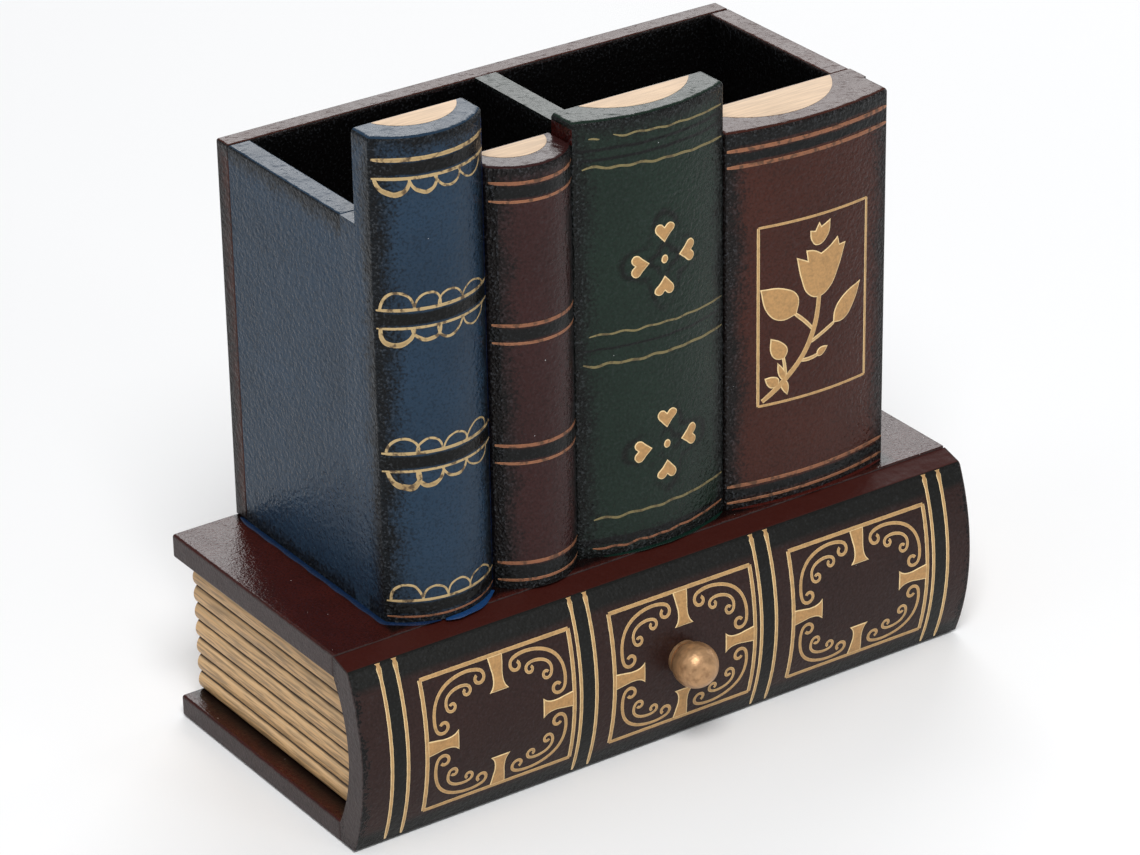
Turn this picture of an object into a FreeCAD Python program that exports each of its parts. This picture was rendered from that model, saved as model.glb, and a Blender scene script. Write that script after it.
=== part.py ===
import FreeCAD, Part
import os
import re
import Sketcher

# A wooden desk organiser for brushes and pens, in the form of books.
#
# A lying book is the base: two covers, with ribbed page blocks between them at the
# ends and the back. Its bow-fronted spine is the front of a drawer that fills the book.
# An open-topped box with two wells stands on the book. Four solid book spines of
# different widths and heights are glued to the box's front board.
#
# Frame: X runs along the lying book, +Y points to the back, +Z points up. The origin is
# the centre of the bottom cover's underside. All sizes are in millimetres.

SIZES = [
    # lying book
    ("case_length", 190.0, "length of both covers and of the drawer front"),
    ("cover_depth", 77.6, "front to back of both covers"),
    ("bottom_cover_thickness", 6.0, "bottom cover"),
    ("top_cover_thickness", 6.7, "top cover"),
    ("page_height", 40.6, "gap between the covers"),
    ("cover_edge_round", 0.8, "sanded edges of the covers"),
    ("cover_overhang", 5.4, "covers past the page ribs at each end"),
    ("page_block_thickness", 9.0, "page block with its ribs"),
    ("page_rib_rise", 1.1, "height of one rounded rib"),
    ("page_rib_count", 8, "ribs on a page block"),
    # box with two wells
    ("box_left_margin", 19.1, "case end to the box's left side"),
    ("box_right_margin", 17.8, "case end to the box's right side"),
    ("spine_ledge", 13.1, "covers' front edge to the front board, where the spines stand"),
    ("box_height", 104.8, "top cover to rim"),
    ("side_wall_thickness", 6.4, "left and right wall"),
    ("back_wall_thickness", 5.9, "back wall"),
    ("front_board_thickness", 6.5, "board behind the book spines"),
    ("divider_thickness", 6.4, "board between the wells"),
    ("left_well_width", 66.6, "left wall to divider"),
    ("well_floor_thickness", 3.0, "bottom board of the box"),
    ("rim_edge_round", 0.7, "sanded edges of the rim"),
    # book spines: width, flat side, bow of the front, height
    ("blue_width", 31.9, "blue spine"),
    ("blue_side", 7.1, "flat side of the blue spine"),
    ("blue_bow", 7.2, "bow of the blue spine"),
    ("blue_height", 129.3, "height of the blue spine"),
    ("maroon_width", 24.8, "maroon spine"),
    ("maroon_side", 8.2, "flat side of the maroon spine"),
    ("maroon_bow", 6.4, "bow of the maroon spine"),
    ("maroon_height", 114.0, "height of the maroon spine"),
    ("green_width", 45.6, "green spine"),
    ("green_side", 8.2, "flat side of the green spine"),
    ("green_bow", 5.2, "bow of the green spine"),
    ("green_height", 118.8, "height of the green spine"),
    ("brown_side", 9.0, "flat side of the brown spine"),
    ("brown_bow", 3.7, "bow of the brown spine"),
    ("spine_top_round", 1.2, "sanded top edge of a spine"),
    ("spine_corner_round", 0.8, "sanded upright corner of a spine"),
    # drawer
    ("front_thickness", 6.2, "drawer front at its top and bottom edge"),
    ("front_top_drop", 0.6, "drawer front's back edge below the top cover"),
    ("front_top_slope", 1.8, "fall of the drawer front's top towards its front"),
    ("front_bow", 5.2, "outward bow of the drawer front"),
    ("front_hollow", 5.4, "depth of the hollow behind the drawer front"),
    ("front_top_round", 1.5, "sanded top edge of the drawer front"),
    ("front_floor_gap", 0.6, "table to the drawer front"),
    ("front_shut_gap", 0.2, "shut drawer front to the covers"),
    ("drawer_board", 4.0, "drawer sides and back"),
    ("drawer_bottom_thickness", 3.0, "drawer bottom"),
    ("drawer_top_gap", 4.2, "drawer sides to top cover"),
    ("drawer_back_step", 3.0, "drawer back below the sides' top"),
    ("drawer_side_gap", 0.5, "drawer side to page block"),
    ("drawer_floor_gap", 0.4, "drawer box to bottom cover"),
    ("drawer_back_gap", 2.0, "shut drawer to the back page block"),
    # knob and its screw
    ("knob_offset", 1.6, "knob right of the middle"),
    ("knob_radius", 6.0, "ball of the knob"),
    ("knob_reach", 5.2, "ball's centre in front of the knob's base"),
    ("knob_collar_radius", 4.7, "collar at the knob's base"),
    ("knob_collar_height", 1.0, "collar at the knob's base"),
    ("screw_radius", 1.5, "shank of the knob screw"),
    ("screw_length", 12.0, "shank of the knob screw"),
    ("screw_head_radius", 3.0, "pan head"),
    ("screw_head_height", 1.8, "pan head"),
    ("screw_head_round", 0.9, "crown of the pan head"),
    ("screw_slot_width", 0.8, "driver slot"),
    ("screw_slot_depth", 0.9, "driver slot"),
    ("screw_hole_gap", 0.1, "shank to its hole in the drawer front"),
    ("screw_tip_gap", 0.8, "screw tip to the end of the knob's bore"),
    ("head_seat_depth", 1.2, "flat seat cut into the hollow"),
    ("head_seat_gap", 0.5, "pan head to the rim of its seat"),
    # brads
    ("brad_radius", 0.6, "pins of the covers and the box"),
    ("brad_length", 16.0, "pins of the covers and the box"),
    ("brad_set", 0.5, "depth that a pin is set below the surface"),
    ("brad_end_margin", 12.0, "first and last pin from the end of a joint"),
    ("drawer_brad_radius", 0.5, "pins of the drawer box"),
    ("drawer_brad_length", 10.0, "pins of the drawer box"),
]

doc = FreeCAD.newDocument("BookOrganiser")
sheet = doc.addObject("Spreadsheet::Sheet", "Sizes")
for row, (alias, value, note) in enumerate(SIZES, start=1):
    sheet.set(f"A{row}", alias)
    sheet.set(f"B{row}", str(value))
    sheet.set(f"C{row}", note)
    sheet.setAlias(f"B{row}", alias)
doc.recompute()

# Places that several pieces share, worked out from the sizes.
CASE_LEFT = "(-case_length / 2)"
COVER_FRONT = "(-cover_depth / 2)"
COVER_BACK = "(cover_depth / 2)"
CASE_TOP = "(bottom_cover_thickness + page_height + top_cover_thickness)"
PAGE_CORE = "(page_block_thickness - page_rib_rise)"
PAGE_BLOCK_LEFT = "(-case_length / 2 + cover_overhang + page_rib_rise)"
BACK_BLOCK_FRONT = "(cover_depth / 2 - page_block_thickness)"
BOX_LEFT = "(box_left_margin - case_length / 2)"
BOX_WIDTH = "(case_length - box_left_margin - box_right_margin)"
BOX_FRONT = "(spine_ledge - cover_depth / 2)"
WELL_LEFT = f"({BOX_LEFT} + side_wall_thickness)"
WELL_FRONT = f"({BOX_FRONT} + front_board_thickness)"
WELL_DEPTH = "(cover_depth - spine_ledge - front_board_thickness - back_wall_thickness)"
DIVIDER_LEFT = f"({WELL_LEFT} + left_well_width)"
LANDING = "(-cover_depth / 2 - front_shut_gap)"
HOLLOW_RADIUS = "((page_height ^ 2 / 4 + front_hollow ^ 2) / (2 * front_hollow))"
BOW_HEIGHT = f"({CASE_TOP} - front_top_drop - front_top_slope - front_floor_gap)"
DRAWER_FLOOR = "(bottom_cover_thickness + drawer_floor_gap)"
SIDE_HEIGHT = "(page_height - drawer_floor_gap - drawer_top_gap)"
DRAWER_LEFT = f"({CASE_LEFT} + cover_overhang + page_block_thickness + drawer_side_gap)"
DRAWER_WIDTH = "(case_length - 2 * (cover_overhang + page_block_thickness + drawer_side_gap))"
DRAWER_RUN = f"({BACK_BLOCK_FRONT} - drawer_back_gap - {LANDING})"
KNOB_BASE = f"({LANDING} - front_thickness - front_bow)"
KNOB_Z = f"(front_floor_gap + {BOW_HEIGHT} / 2)"
HEAD_SEAT = f"({LANDING} - front_hollow - head_seat_depth)"
SCREW_IN_KNOB = f"(screw_length - ({HEAD_SEAT} - {KNOB_BASE}))"


def on_sheet(text):
    """Turn size names, which all hold an underscore, into references to the sheet."""
    return re.sub(r"\b[a-z]+(_[a-z]+)+\b", r"Sizes.\g<0>", text)


def number(text):
    """Value of an expression on the sheet's sizes."""
    return float(sheet.evalExpression(on_sheet(text)))


def bind(thing, path, text):
    """Bind one property of an object to an expression on the sheet's sizes."""
    thing.setExpression(path, on_sheet(text))


def place(thing, at):
    """Bind the three coordinates of an object's place."""
    for axis, text in zip("xyz", at):
        bind(thing, f"Placement.Base.{axis}", text)


def bow_radius(chord, bow):
    """Expression for the radius of an arc with this chord and this height."""
    return f"(({chord}) ^ 2 / 4 + {bow} ^ 2) / (2 * {bow})"


def new_body(label):
    body = doc.addObject("PartDesign::Body", label)
    body.Label = label
    return body


def new_sketch(body, plane, name):
    """Sketch on one of the body's own origin planes."""
    sketch = body.newObject("Sketcher::SketchObject", f"{body.Label}_{name}")
    planes = [item for item in body.Origin.OriginFeatures if item.Role == plane]
    sketch.AttachmentSupport = (planes[0], [""])
    sketch.MapMode = "FlatFace"
    return sketch


def constrain(sketch, kind, *where, size=None):
    """Add a constraint; a size is an expression that it stays bound to."""
    if size is None:
        return sketch.addConstraint(Sketcher.Constraint(kind, *where))
    index = sketch.addConstraint(Sketcher.Constraint(kind, *where, number(size)))
    bind(sketch, f"Constraints[{index}]", size)
    return index


def add_outline(sketch, points, arcs=None):
    """Closed outline through the points, corner to corner.

    points are pairs of numbers. arcs maps the index of a side to a point that its arc
    passes through. Corners are joined, and straight sides that run along an axis are
    held there.
    """
    arcs = arcs or {}
    corners = [FreeCAD.Vector(x, y, 0) for x, y in points]
    count = len(corners)
    for side in range(count):
        start, end = corners[side], corners[(side + 1) % count]
        if side in arcs:
            middle = FreeCAD.Vector(arcs[side][0], arcs[side][1], 0)
            sketch.addGeometry(Part.Arc(start, middle, end))
        else:
            sketch.addGeometry(Part.LineSegment(start, end))
    for side in range(count):
        after = (side + 1) % count
        join = (side, end_of(sketch, side, corners[after]), after,
                end_of(sketch, after, corners[after]))
        constrain(sketch, "Coincident", *join)
        if side in arcs:
            continue
        if abs(corners[side].x - corners[after].x) < 1e-7:
            constrain(sketch, "Vertical", side)
        elif abs(corners[side].y - corners[after].y) < 1e-7:
            constrain(sketch, "Horizontal", side)


def end_of(sketch, side, corner):
    """1 or 2: which end of a sketch element lies on the corner."""
    at_start = sketch.getPoint(side, 1).distanceToPoint(corner) < 1e-6
    return 1 if at_start else 2


def pad(body, sketch, length, reverse=False, name="pad"):
    feature = body.newObject("PartDesign::Pad", f"{body.Label}_{name}")
    feature.Profile = sketch
    feature.Reversed = reverse
    feature.Length = number(length)
    bind(feature, "Length", length)
    body.Tip = feature
    doc.recompute()
    return feature


def round_edges(body, choose, radius, name="round"):
    """Fillet the edges of the body's tip for which choose(box) is true."""
    base = body.Tip
    names = [f"Edge{index}" for index, edge in enumerate(base.Shape.Edges, start=1)
             if choose(edge.BoundBox)]
    feature = body.newObject("PartDesign::Fillet", f"{body.Label}_{name}")
    feature.Base = (base, names)
    feature.Radius = number(radius)
    bind(feature, "Radius", radius)
    body.Tip = feature
    doc.recompute()
    return feature


def near(one, other):
    return abs(one - other) < 1e-4


def board(label, size, at):
    """Plain board with its low corner at the place given."""
    body = new_body(label)
    sketch = new_sketch(body, "XY_Plane", "outline")
    wide, deep = number(size[0]), number(size[1])
    add_outline(sketch, [(0, 0), (wide, 0), (wide, deep), (0, deep)])
    constrain(sketch, "Coincident", 0, 1, -1, 1)
    constrain(sketch, "DistanceX", 0, 1, 0, 2, size=size[0])
    constrain(sketch, "DistanceY", 1, 1, 1, 2, size=size[1])
    pad(body, sketch, size[2])
    place(body, at)
    return body


def round_box(body, radius, ends):
    """Round the edges that lie in the named ends of a board, such as +Z and -X."""
    whole = body.Tip.Shape.BoundBox
    limits = {"-X": ("XMin", "XMax", whole.XMin), "+X": ("XMin", "XMax", whole.XMax),
              "-Y": ("YMin", "YMax", whole.YMin), "+Y": ("YMin", "YMax", whole.YMax),
              "-Z": ("ZMin", "ZMax", whole.ZMin), "+Z": ("ZMin", "ZMax", whole.ZMax)}

    def lies_in(box, end):
        low, high, level = limits[end]
        return near(getattr(box, low), level) and near(getattr(box, high), level)

    round_edges(body, lambda box: any(lies_in(box, end) for end in ends), radius)


def drill(label, blank, brads):
    """The finished piece: a blank with the brads' own holes in it."""
    piece = doc.addObject("Part::Cut", label)
    piece.Label = label
    piece.Base = blank
    piece.Tool = brads
    return piece


def page_block(label, run, angle, at):
    """Ribbed page edge: a core with rounded ribs along its outer side, at local -X."""
    body = new_body(f"{label}_blank")
    core = new_sketch(body, "XY_Plane", "core")
    deep, long = number(PAGE_CORE), number(run)
    add_outline(core, [(0, 0), (deep, 0), (deep, long), (0, long)])
    constrain(core, "Coincident", 0, 1, -1, 1)
    constrain(core, "DistanceX", 0, 1, 0, 2, size=PAGE_CORE)
    constrain(core, "DistanceY", 1, 1, 1, 2, size=run)
    pad(body, core, "page_height")
    pitch = "page_height / page_rib_count"
    rib = new_sketch(body, "XZ_Plane", "rib")
    high, rise = number(pitch), number("page_rib_rise")
    add_outline(rib, [(0, 0), (0, high)], arcs={1: (-rise, high / 2)})
    constrain(rib, "Coincident", 0, 1, -1, 1)
    constrain(rib, "DistanceY", 0, 1, 0, 2, size=pitch)
    constrain(rib, "Radius", 1, size=bow_radius(pitch, "page_rib_rise"))
    rib_pad = pad(body, rib, run, reverse=True, name="rib_pad")
    rows = body.newObject("PartDesign::LinearPattern", f"{body.Label}_rows")
    rows.Originals = [rib_pad]
    rows.Direction = (rib, ["V_Axis"])
    bind(rows, "Length", "page_height - page_height / page_rib_count")
    bind(rows, "Occurrences", "page_rib_count")
    body.Tip = rows
    body.Placement = FreeCAD.Placement(
        FreeCAD.Vector(), FreeCAD.Rotation(FreeCAD.Vector(0, 0, 1), angle))
    place(body, at)
    return body


def spine_block(label, sizes, left):
    """Solid book spine: flat back and sides, bowed front."""
    width, side, bow, height = sizes
    body = new_body(label)
    wide, flat, crest = number(width), number(side), number(bow)
    sketch = new_sketch(body, "XY_Plane", "outline")
    add_outline(sketch, [(0, 0), (wide, 0), (wide, flat), (0, flat)],
                arcs={0: (wide / 2, -crest)})
    constrain(sketch, "Coincident", 3, end_of(sketch, 3, FreeCAD.Vector()), -1, 1)
    constrain(sketch, "DistanceX", 2, 2, 2, 1, size=width)
    constrain(sketch, "DistanceY", 1, 1, 1, 2, size=side)
    constrain(sketch, "Horizontal", 3, 2, 1, 1)
    constrain(sketch, "Radius", 0, size=bow_radius(width, bow))
    pad(body, sketch, height)
    tall = number(height)
    round_edges(
        body,
        lambda box: near(box.YMin, 0) and near(box.YMax, 0) and near(box.ZLength, tall),
        "spine_corner_round", name="corners")
    round_edges(
        body,
        lambda box: near(box.ZMin, tall) and not near(box.YMin, flat),
        "spine_top_round", name="top")
    place(body, (left, f"{BOX_FRONT} - {side}", CASE_TOP))
    return body


def hollow_fronted(label, length, low, high, left):
    """Drawer board whose front edge is shaped to the hollow of the drawer front.

    Its outline is drawn at its real height, with the landing plane of the drawer front
    at local Y = 0.
    """
    body = new_body(f"{label}_blank")
    sketch = new_sketch(body, "YZ_Plane", "outline")
    radius, hollow = number(HOLLOW_RADIUS), number("front_hollow")
    centre_z = "bottom_cover_thickness + page_height / 2"
    bottom, top, back = number(low), number(high), number(DRAWER_RUN)

    def front(level):
        rise = level - number(centre_z)
        return radius - hollow - (radius ** 2 - rise ** 2) ** 0.5

    middle = (bottom + top) / 2
    add_outline(
        sketch,
        [(front(bottom), bottom), (back, bottom), (back, top), (front(top), top)],
        arcs={3: (front(middle), middle)})
    constrain(sketch, "DistanceX", -1, 1, 0, 2, size=DRAWER_RUN)
    constrain(sketch, "DistanceY", -1, 1, 0, 2, size=low)
    constrain(sketch, "DistanceY", -1, 1, 1, 2, size=high)
    constrain(sketch, "DistanceX", -1, 1, 3, 3, size=f"{HOLLOW_RADIUS} - front_hollow")
    constrain(sketch, "DistanceY", -1, 1, 3, 3, size=centre_z)
    constrain(sketch, "Radius", 3, size=HOLLOW_RADIUS)
    pad(body, sketch, length)
    place(body, (left, LANDING, "0"))
    return body


def bore(body, centre, radius, name, depth=None, offset="0"):
    """Round hole along Y: right through, or from a plane in front up to the back."""
    sketch = new_sketch(body, "XZ_Plane", name)
    bind(sketch, "AttachmentOffset.Base.z", offset)
    x, z = number(centre[0]), number(centre[1])
    sketch.addGeometry(Part.Circle(
        FreeCAD.Vector(x, z, 0), FreeCAD.Vector(0, 0, 1), number(radius)))
    constrain(sketch, "DistanceX", -1, 1, 0, 3, size=centre[0])
    constrain(sketch, "DistanceY", -1, 1, 0, 3, size=centre[1])
    constrain(sketch, "Radius", 0, size=radius)
    before = body.Tip.Shape.Volume
    pocket = body.newObject("PartDesign::Pocket", f"{body.Label}_{name}_cut")
    pocket.Profile = sketch
    if depth is None:
        pocket.Type = "ThroughAll"
        pocket.SideType = "Symmetric"
    else:
        bind(pocket, "Length", depth)
    body.Tip = pocket
    doc.recompute()
    if pocket.Shape.Volume >= before:
        raise RuntimeError(f"{name} cuts nothing from {body.Label}")


def drawer_front():
    """Bow-fronted board of even thickness, with landings above and below its hollow."""
    body = new_body("drawer_front")
    sketch = new_sketch(body, "YZ_Plane", "outline")
    low_landing = "bottom_cover_thickness - front_floor_gap"
    thick, tall = number("front_thickness"), number(BOW_HEIGHT)
    bow, hollow = number("front_bow"), number("front_hollow")
    low, slope = number(low_landing), number("front_top_slope")
    high = low + number("page_height")
    add_outline(
        sketch,
        [(0, 0), (thick, 0), (thick, low), (thick, high), (thick, tall + slope), (0, tall)],
        arcs={2: (thick - hollow, (low + high) / 2), 5: (-bow, tall / 2)})
    constrain(sketch, "Coincident", 0, 1, -1, 1)
    constrain(sketch, "DistanceX", 0, 1, 0, 2, size="front_thickness")
    constrain(sketch, "DistanceY", 1, 1, 1, 2, size=low_landing)
    constrain(sketch, "Vertical", 1, 2, 3, 1)
    constrain(sketch, "DistanceY", 1, 2, 3, 1, size="page_height")
    constrain(sketch, "DistanceY", 0, 1, 4, 2, size=BOW_HEIGHT)
    constrain(sketch, "DistanceY", 4, 2, 4, 1, size="front_top_slope")
    constrain(sketch, "Vertical", 0, 1, 4, 2)
    constrain(sketch, "Radius", 2, size=HOLLOW_RADIUS)
    constrain(sketch, "Radius", 5, size=bow_radius(BOW_HEIGHT, "front_bow"))
    pad(body, sketch, "case_length")
    length = number("case_length")
    round_edges(
        body,
        lambda box: near(box.XLength, length) and near(box.ZMin, tall) and near(box.YMin, 0),
        "front_top_round")
    centre = ("case_length / 2 + knob_offset", f"{BOW_HEIGHT} / 2")
    bore(body, centre, "screw_radius + screw_hole_gap", "screw_hole")
    bore(body, centre, "screw_head_radius + head_seat_gap", "head_seat",
         depth="front_hollow + head_seat_depth",
         offset="front_hollow + head_seat_depth - front_thickness")
    place(body, (CASE_LEFT, f"{LANDING} - front_thickness", "front_floor_gap"))
    return body


def revolve(body, sketch):
    feature = body.newObject("PartDesign::Revolution", f"{body.Label}_turned")
    feature.Profile = sketch
    feature.ReferenceAxis = (sketch, ["V_Axis"])
    feature.Angle = 360
    body.Tip = feature
    doc.recompute()
    return feature


def point_forwards(body, at):
    """Lay a turned piece down so that its local +Z points to the front, -Y."""
    body.Placement = FreeCAD.Placement(
        FreeCAD.Vector(), FreeCAD.Rotation(FreeCAD.Vector(1, 0, 0), 90))
    place(body, at)


def drawer_knob():
    """Turned ball with a low collar and a blind bore for the screw."""
    body = new_body("drawer_knob")
    sketch = new_sketch(body, "XZ_Plane", "outline")
    ball, reach = number("knob_radius"), number("knob_reach")
    collar, rim = number("knob_collar_radius"), number("knob_collar_height")
    shank = number("screw_radius")
    depth = number(f"{SCREW_IN_KNOB} + screw_tip_gap")
    neck = (ball ** 2 - (reach - rim) ** 2) ** 0.5
    add_outline(
        sketch,
        [(0, depth), (shank, depth), (shank, 0), (collar, 0), (collar, rim), (neck, rim),
         (0, reach + ball)],
        arcs={5: (ball, reach)})
    constrain(sketch, "PointOnObject", 0, 1, -2)
    constrain(sketch, "PointOnObject", 2, 1, -1)
    constrain(sketch, "DistanceX", 0, 1, 0, 2, size="screw_radius")
    constrain(sketch, "DistanceY", 1, 2, 1, 1, size=f"{SCREW_IN_KNOB} + screw_tip_gap")
    constrain(sketch, "DistanceX", -1, 1, 2, 2, size="knob_collar_radius")
    constrain(sketch, "DistanceY", 3, 1, 3, 2, size="knob_collar_height")
    constrain(sketch, "PointOnObject", 5, 3, -2)
    constrain(sketch, "DistanceY", -1, 1, 5, 3, size="knob_reach")
    constrain(sketch, "Radius", 5, size="knob_radius")
    revolve(body, sketch)
    point_forwards(body, ("knob_offset", KNOB_BASE, KNOB_Z))
    return body


def knob_screw():
    """Slotted pan-head screw; its head's bearing face is at local Z = 0."""
    body = new_body("knob_screw")
    sketch = new_sketch(body, "XZ_Plane", "outline")
    shank, head = number("screw_radius"), number("screw_head_radius")
    long, high = number("screw_length"), number("screw_head_height")
    add_outline(sketch, [(0, -high), (head, -high), (head, 0), (shank, 0), (shank, long),
                         (0, long)])
    constrain(sketch, "PointOnObject", 0, 1, -2)
    constrain(sketch, "PointOnObject", 2, 1, -1)
    constrain(sketch, "DistanceX", 0, 1, 0, 2, size="screw_head_radius")
    constrain(sketch, "DistanceY", 1, 1, 1, 2, size="screw_head_height")
    constrain(sketch, "DistanceX", -1, 1, 3, 1, size="screw_radius")
    constrain(sketch, "DistanceY", 3, 1, 3, 2, size="screw_length")
    revolve(body, sketch)
    round_edges(
        body,
        lambda box: near(box.ZMin, -high) and near(box.ZMax, -high) and box.XMax > 0.9 * head,
        "screw_head_round")
    slot = new_sketch(body, "XZ_Plane", "slot")
    half, deep = number("screw_slot_width") / 2, number("screw_slot_depth")
    add_outline(slot, [(-half, -high), (half, -high), (half, deep - high),
                       (-half, deep - high)])
    constrain(slot, "DistanceX", 0, 1, -1, 1, size="screw_slot_width / 2")
    constrain(slot, "DistanceX", 0, 1, 0, 2, size="screw_slot_width")
    constrain(slot, "DistanceY", 0, 1, -1, 1, size="screw_head_height")
    constrain(slot, "DistanceY", 1, 1, 1, 2, size="screw_slot_depth")
    cut = body.newObject("PartDesign::Pocket", "knob_screw_slot_cut")
    cut.Profile = slot
    cut.Type = "ThroughAll"
    cut.SideType = "Symmetric"
    body.Tip = cut
    point_forwards(body, ("knob_offset", HEAD_SEAT, KNOB_Z))
    return body


UP = FreeCAD.Rotation()
BACKWARDS = FreeCAD.Rotation(FreeCAD.Vector(1, 0, 0), -90)
TO_THE_RIGHT = FreeCAD.Rotation(FreeCAD.Vector(0, 1, 0), 90)


def brads(label, radius, length, turn, places):
    """Group of equal pins, each a separate solid that starts at its place."""
    pins = []
    for index, at in enumerate(places, start=1):
        pin = doc.addObject("Part::Cylinder", f"{label}_pin_{index}")
        bind(pin, "Radius", radius)
        bind(pin, "Height", length)
        pin.Placement = FreeCAD.Placement(FreeCAD.Vector(), turn)
        place(pin, at)
        pins.append(pin)
    group = doc.addObject("Part::Compound", label)
    group.Label = label
    group.Links = pins
    return group


def spread(start, length, count):
    """Places of pins along a joint, with the same margin at both ends."""
    return [f"({start} + brad_end_margin + {index} * ({length} - 2 * brad_end_margin) "
            f"/ {count - 1})" for index in range(count)]


def cover_brad_places():
    """Pins down through the top cover and up through the bottom cover."""
    inset = "cover_overhang + page_rib_rise + (page_block_thickness - page_rib_rise) / 2"
    left = f"({CASE_LEFT} + {inset})"
    right = f"(-{left})"
    back = f"({COVER_BACK} - page_block_thickness / 2)"
    spots = [(x, y) for x in (left, right) for y in spread(COVER_FRONT, "cover_depth", 3)]
    inner_left = f"({CASE_LEFT} + cover_overhang + page_block_thickness)"
    spots += [(x, back) for x in spread(inner_left, f"(-2 * {inner_left})", 4)]
    low, high = "brad_set", f"{CASE_TOP} - brad_set - brad_length"
    return [(x, y, z) for x, y in spots for z in (low, high)]


def box_brad_places():
    """Pins through the back wall and the front board into the walls and the divider."""
    uprights = [f"({BOX_LEFT} + side_wall_thickness / 2)",
                f"({DIVIDER_LEFT} + divider_thickness / 2)",
                f"({BOX_LEFT} + {BOX_WIDTH} - side_wall_thickness / 2)"]
    front = f"{BOX_FRONT} + brad_set"
    back = f"{COVER_BACK} - brad_set - brad_length"
    levels = spread(CASE_TOP, "box_height", 3)
    return [(x, y, z) for x in uprights for y in (front, back) for z in levels]


def drawer_brad_places():
    """Pins through the drawer sides into the ends of its back and bottom."""
    left = f"{DRAWER_LEFT} + brad_set"
    right = f"{DRAWER_LEFT} + {DRAWER_WIDTH} - brad_set - drawer_brad_length"
    back = f"({LANDING} + {DRAWER_RUN} - drawer_board / 2)"
    in_bottom = f"({DRAWER_FLOOR} + drawer_bottom_thickness / 2)"
    upper = f"({DRAWER_FLOOR} + {SIDE_HEIGHT} - brad_end_margin)"
    lower = f"({DRAWER_FLOOR} + brad_end_margin)"
    along = spread(LANDING, DRAWER_RUN, 2)
    spots = [(back, upper), (back, lower)] + [(y, in_bottom) for y in along]
    return [(x, y, z) for y, z in spots for x in (left, right)]


nodes = []

# Lying book.
cover_brads = brads("cover_brads", "brad_radius", "brad_length", UP, cover_brad_places())
bottom_cover = board("bottom_cover_blank", ("case_length", "cover_depth", "bottom_cover_thickness"),
                     (CASE_LEFT, COVER_FRONT, "0"))
round_box(bottom_cover, "cover_edge_round", ("-X", "+X", "+Y"))
top_cover = board("top_cover_blank", ("case_length", "cover_depth", "top_cover_thickness"),
                  (CASE_LEFT, COVER_FRONT, "bottom_cover_thickness + page_height"))
round_box(top_cover, "cover_edge_round", ("-X", "+X", "+Y"))
back_run = "case_length - 2 * (cover_overhang + page_block_thickness)"
back_left = f"{CASE_LEFT} + cover_overhang + page_block_thickness"
page_blocks = [
    ("left_page_block", "cover_depth", 0,
     (PAGE_BLOCK_LEFT, COVER_FRONT, "bottom_cover_thickness")),
    ("right_page_block", "cover_depth", 180,
     (f"-{PAGE_BLOCK_LEFT}", COVER_BACK, "bottom_cover_thickness")),
    ("back_page_block", back_run, -90,
     (back_left, f"{COVER_BACK} - page_rib_rise", "bottom_cover_thickness")),
]
nodes += [cover_brads, drill("bottom_cover", bottom_cover, cover_brads),
          drill("top_cover", top_cover, cover_brads)]
for name, run, angle, at in page_blocks:
    nodes.append(drill(name, page_block(name, run, angle, at), cover_brads))

# Box with two wells.
box_brads = brads("box_brads", "brad_radius", "brad_length", BACKWARDS, box_brad_places())
right_wall_left = f"{BOX_LEFT} + {BOX_WIDTH} - side_wall_thickness"
walls = [
    ("left_wall", ("side_wall_thickness", WELL_DEPTH, "box_height"),
     (BOX_LEFT, WELL_FRONT, CASE_TOP), ("+Z",)),
    ("right_wall", ("side_wall_thickness", WELL_DEPTH, "box_height"),
     (right_wall_left, WELL_FRONT, CASE_TOP), ("+Z",)),
    ("back_wall", (BOX_WIDTH, "back_wall_thickness", "box_height"),
     (BOX_LEFT, f"{COVER_BACK} - back_wall_thickness", CASE_TOP), ("+Z", "-X", "+X")),
    ("front_board", (BOX_WIDTH, "front_board_thickness", "box_height"),
     (BOX_LEFT, BOX_FRONT, CASE_TOP), ()),
    ("divider", ("divider_thickness", WELL_DEPTH, "box_height - well_floor_thickness"),
     (DIVIDER_LEFT, WELL_FRONT, f"{CASE_TOP} + well_floor_thickness"), ()),
]
nodes.append(box_brads)
for name, size, at, rounded in walls:
    blank = board(f"{name}_blank", size, at)
    if rounded:
        round_box(blank, "rim_edge_round", rounded)
    nodes.append(drill(name, blank, box_brads))
well_floor_size = (f"{BOX_WIDTH} - 2 * side_wall_thickness", WELL_DEPTH, "well_floor_thickness")
nodes.append(board("well_floor", well_floor_size, (WELL_LEFT, WELL_FRONT, CASE_TOP)))

# Book spines, from left to right; the brown one takes the width that is left.
brown_width = f"({BOX_WIDTH} - blue_width - maroon_width - green_width)"
spines = [
    ("blue", ("blue_width", "blue_side", "blue_bow", "blue_height")),
    ("maroon", ("maroon_width", "maroon_side", "maroon_bow", "maroon_height")),
    ("green", ("green_width", "green_side", "green_bow", "green_height")),
    ("brown", (brown_width, "brown_side", "brown_bow", "box_height")),
]
spine_left = BOX_LEFT
for colour, sizes in spines:
    nodes.append(spine_block(f"{colour}_spine_block", sizes, spine_left))
    spine_left = f"({spine_left} + {sizes[0]})"

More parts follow.
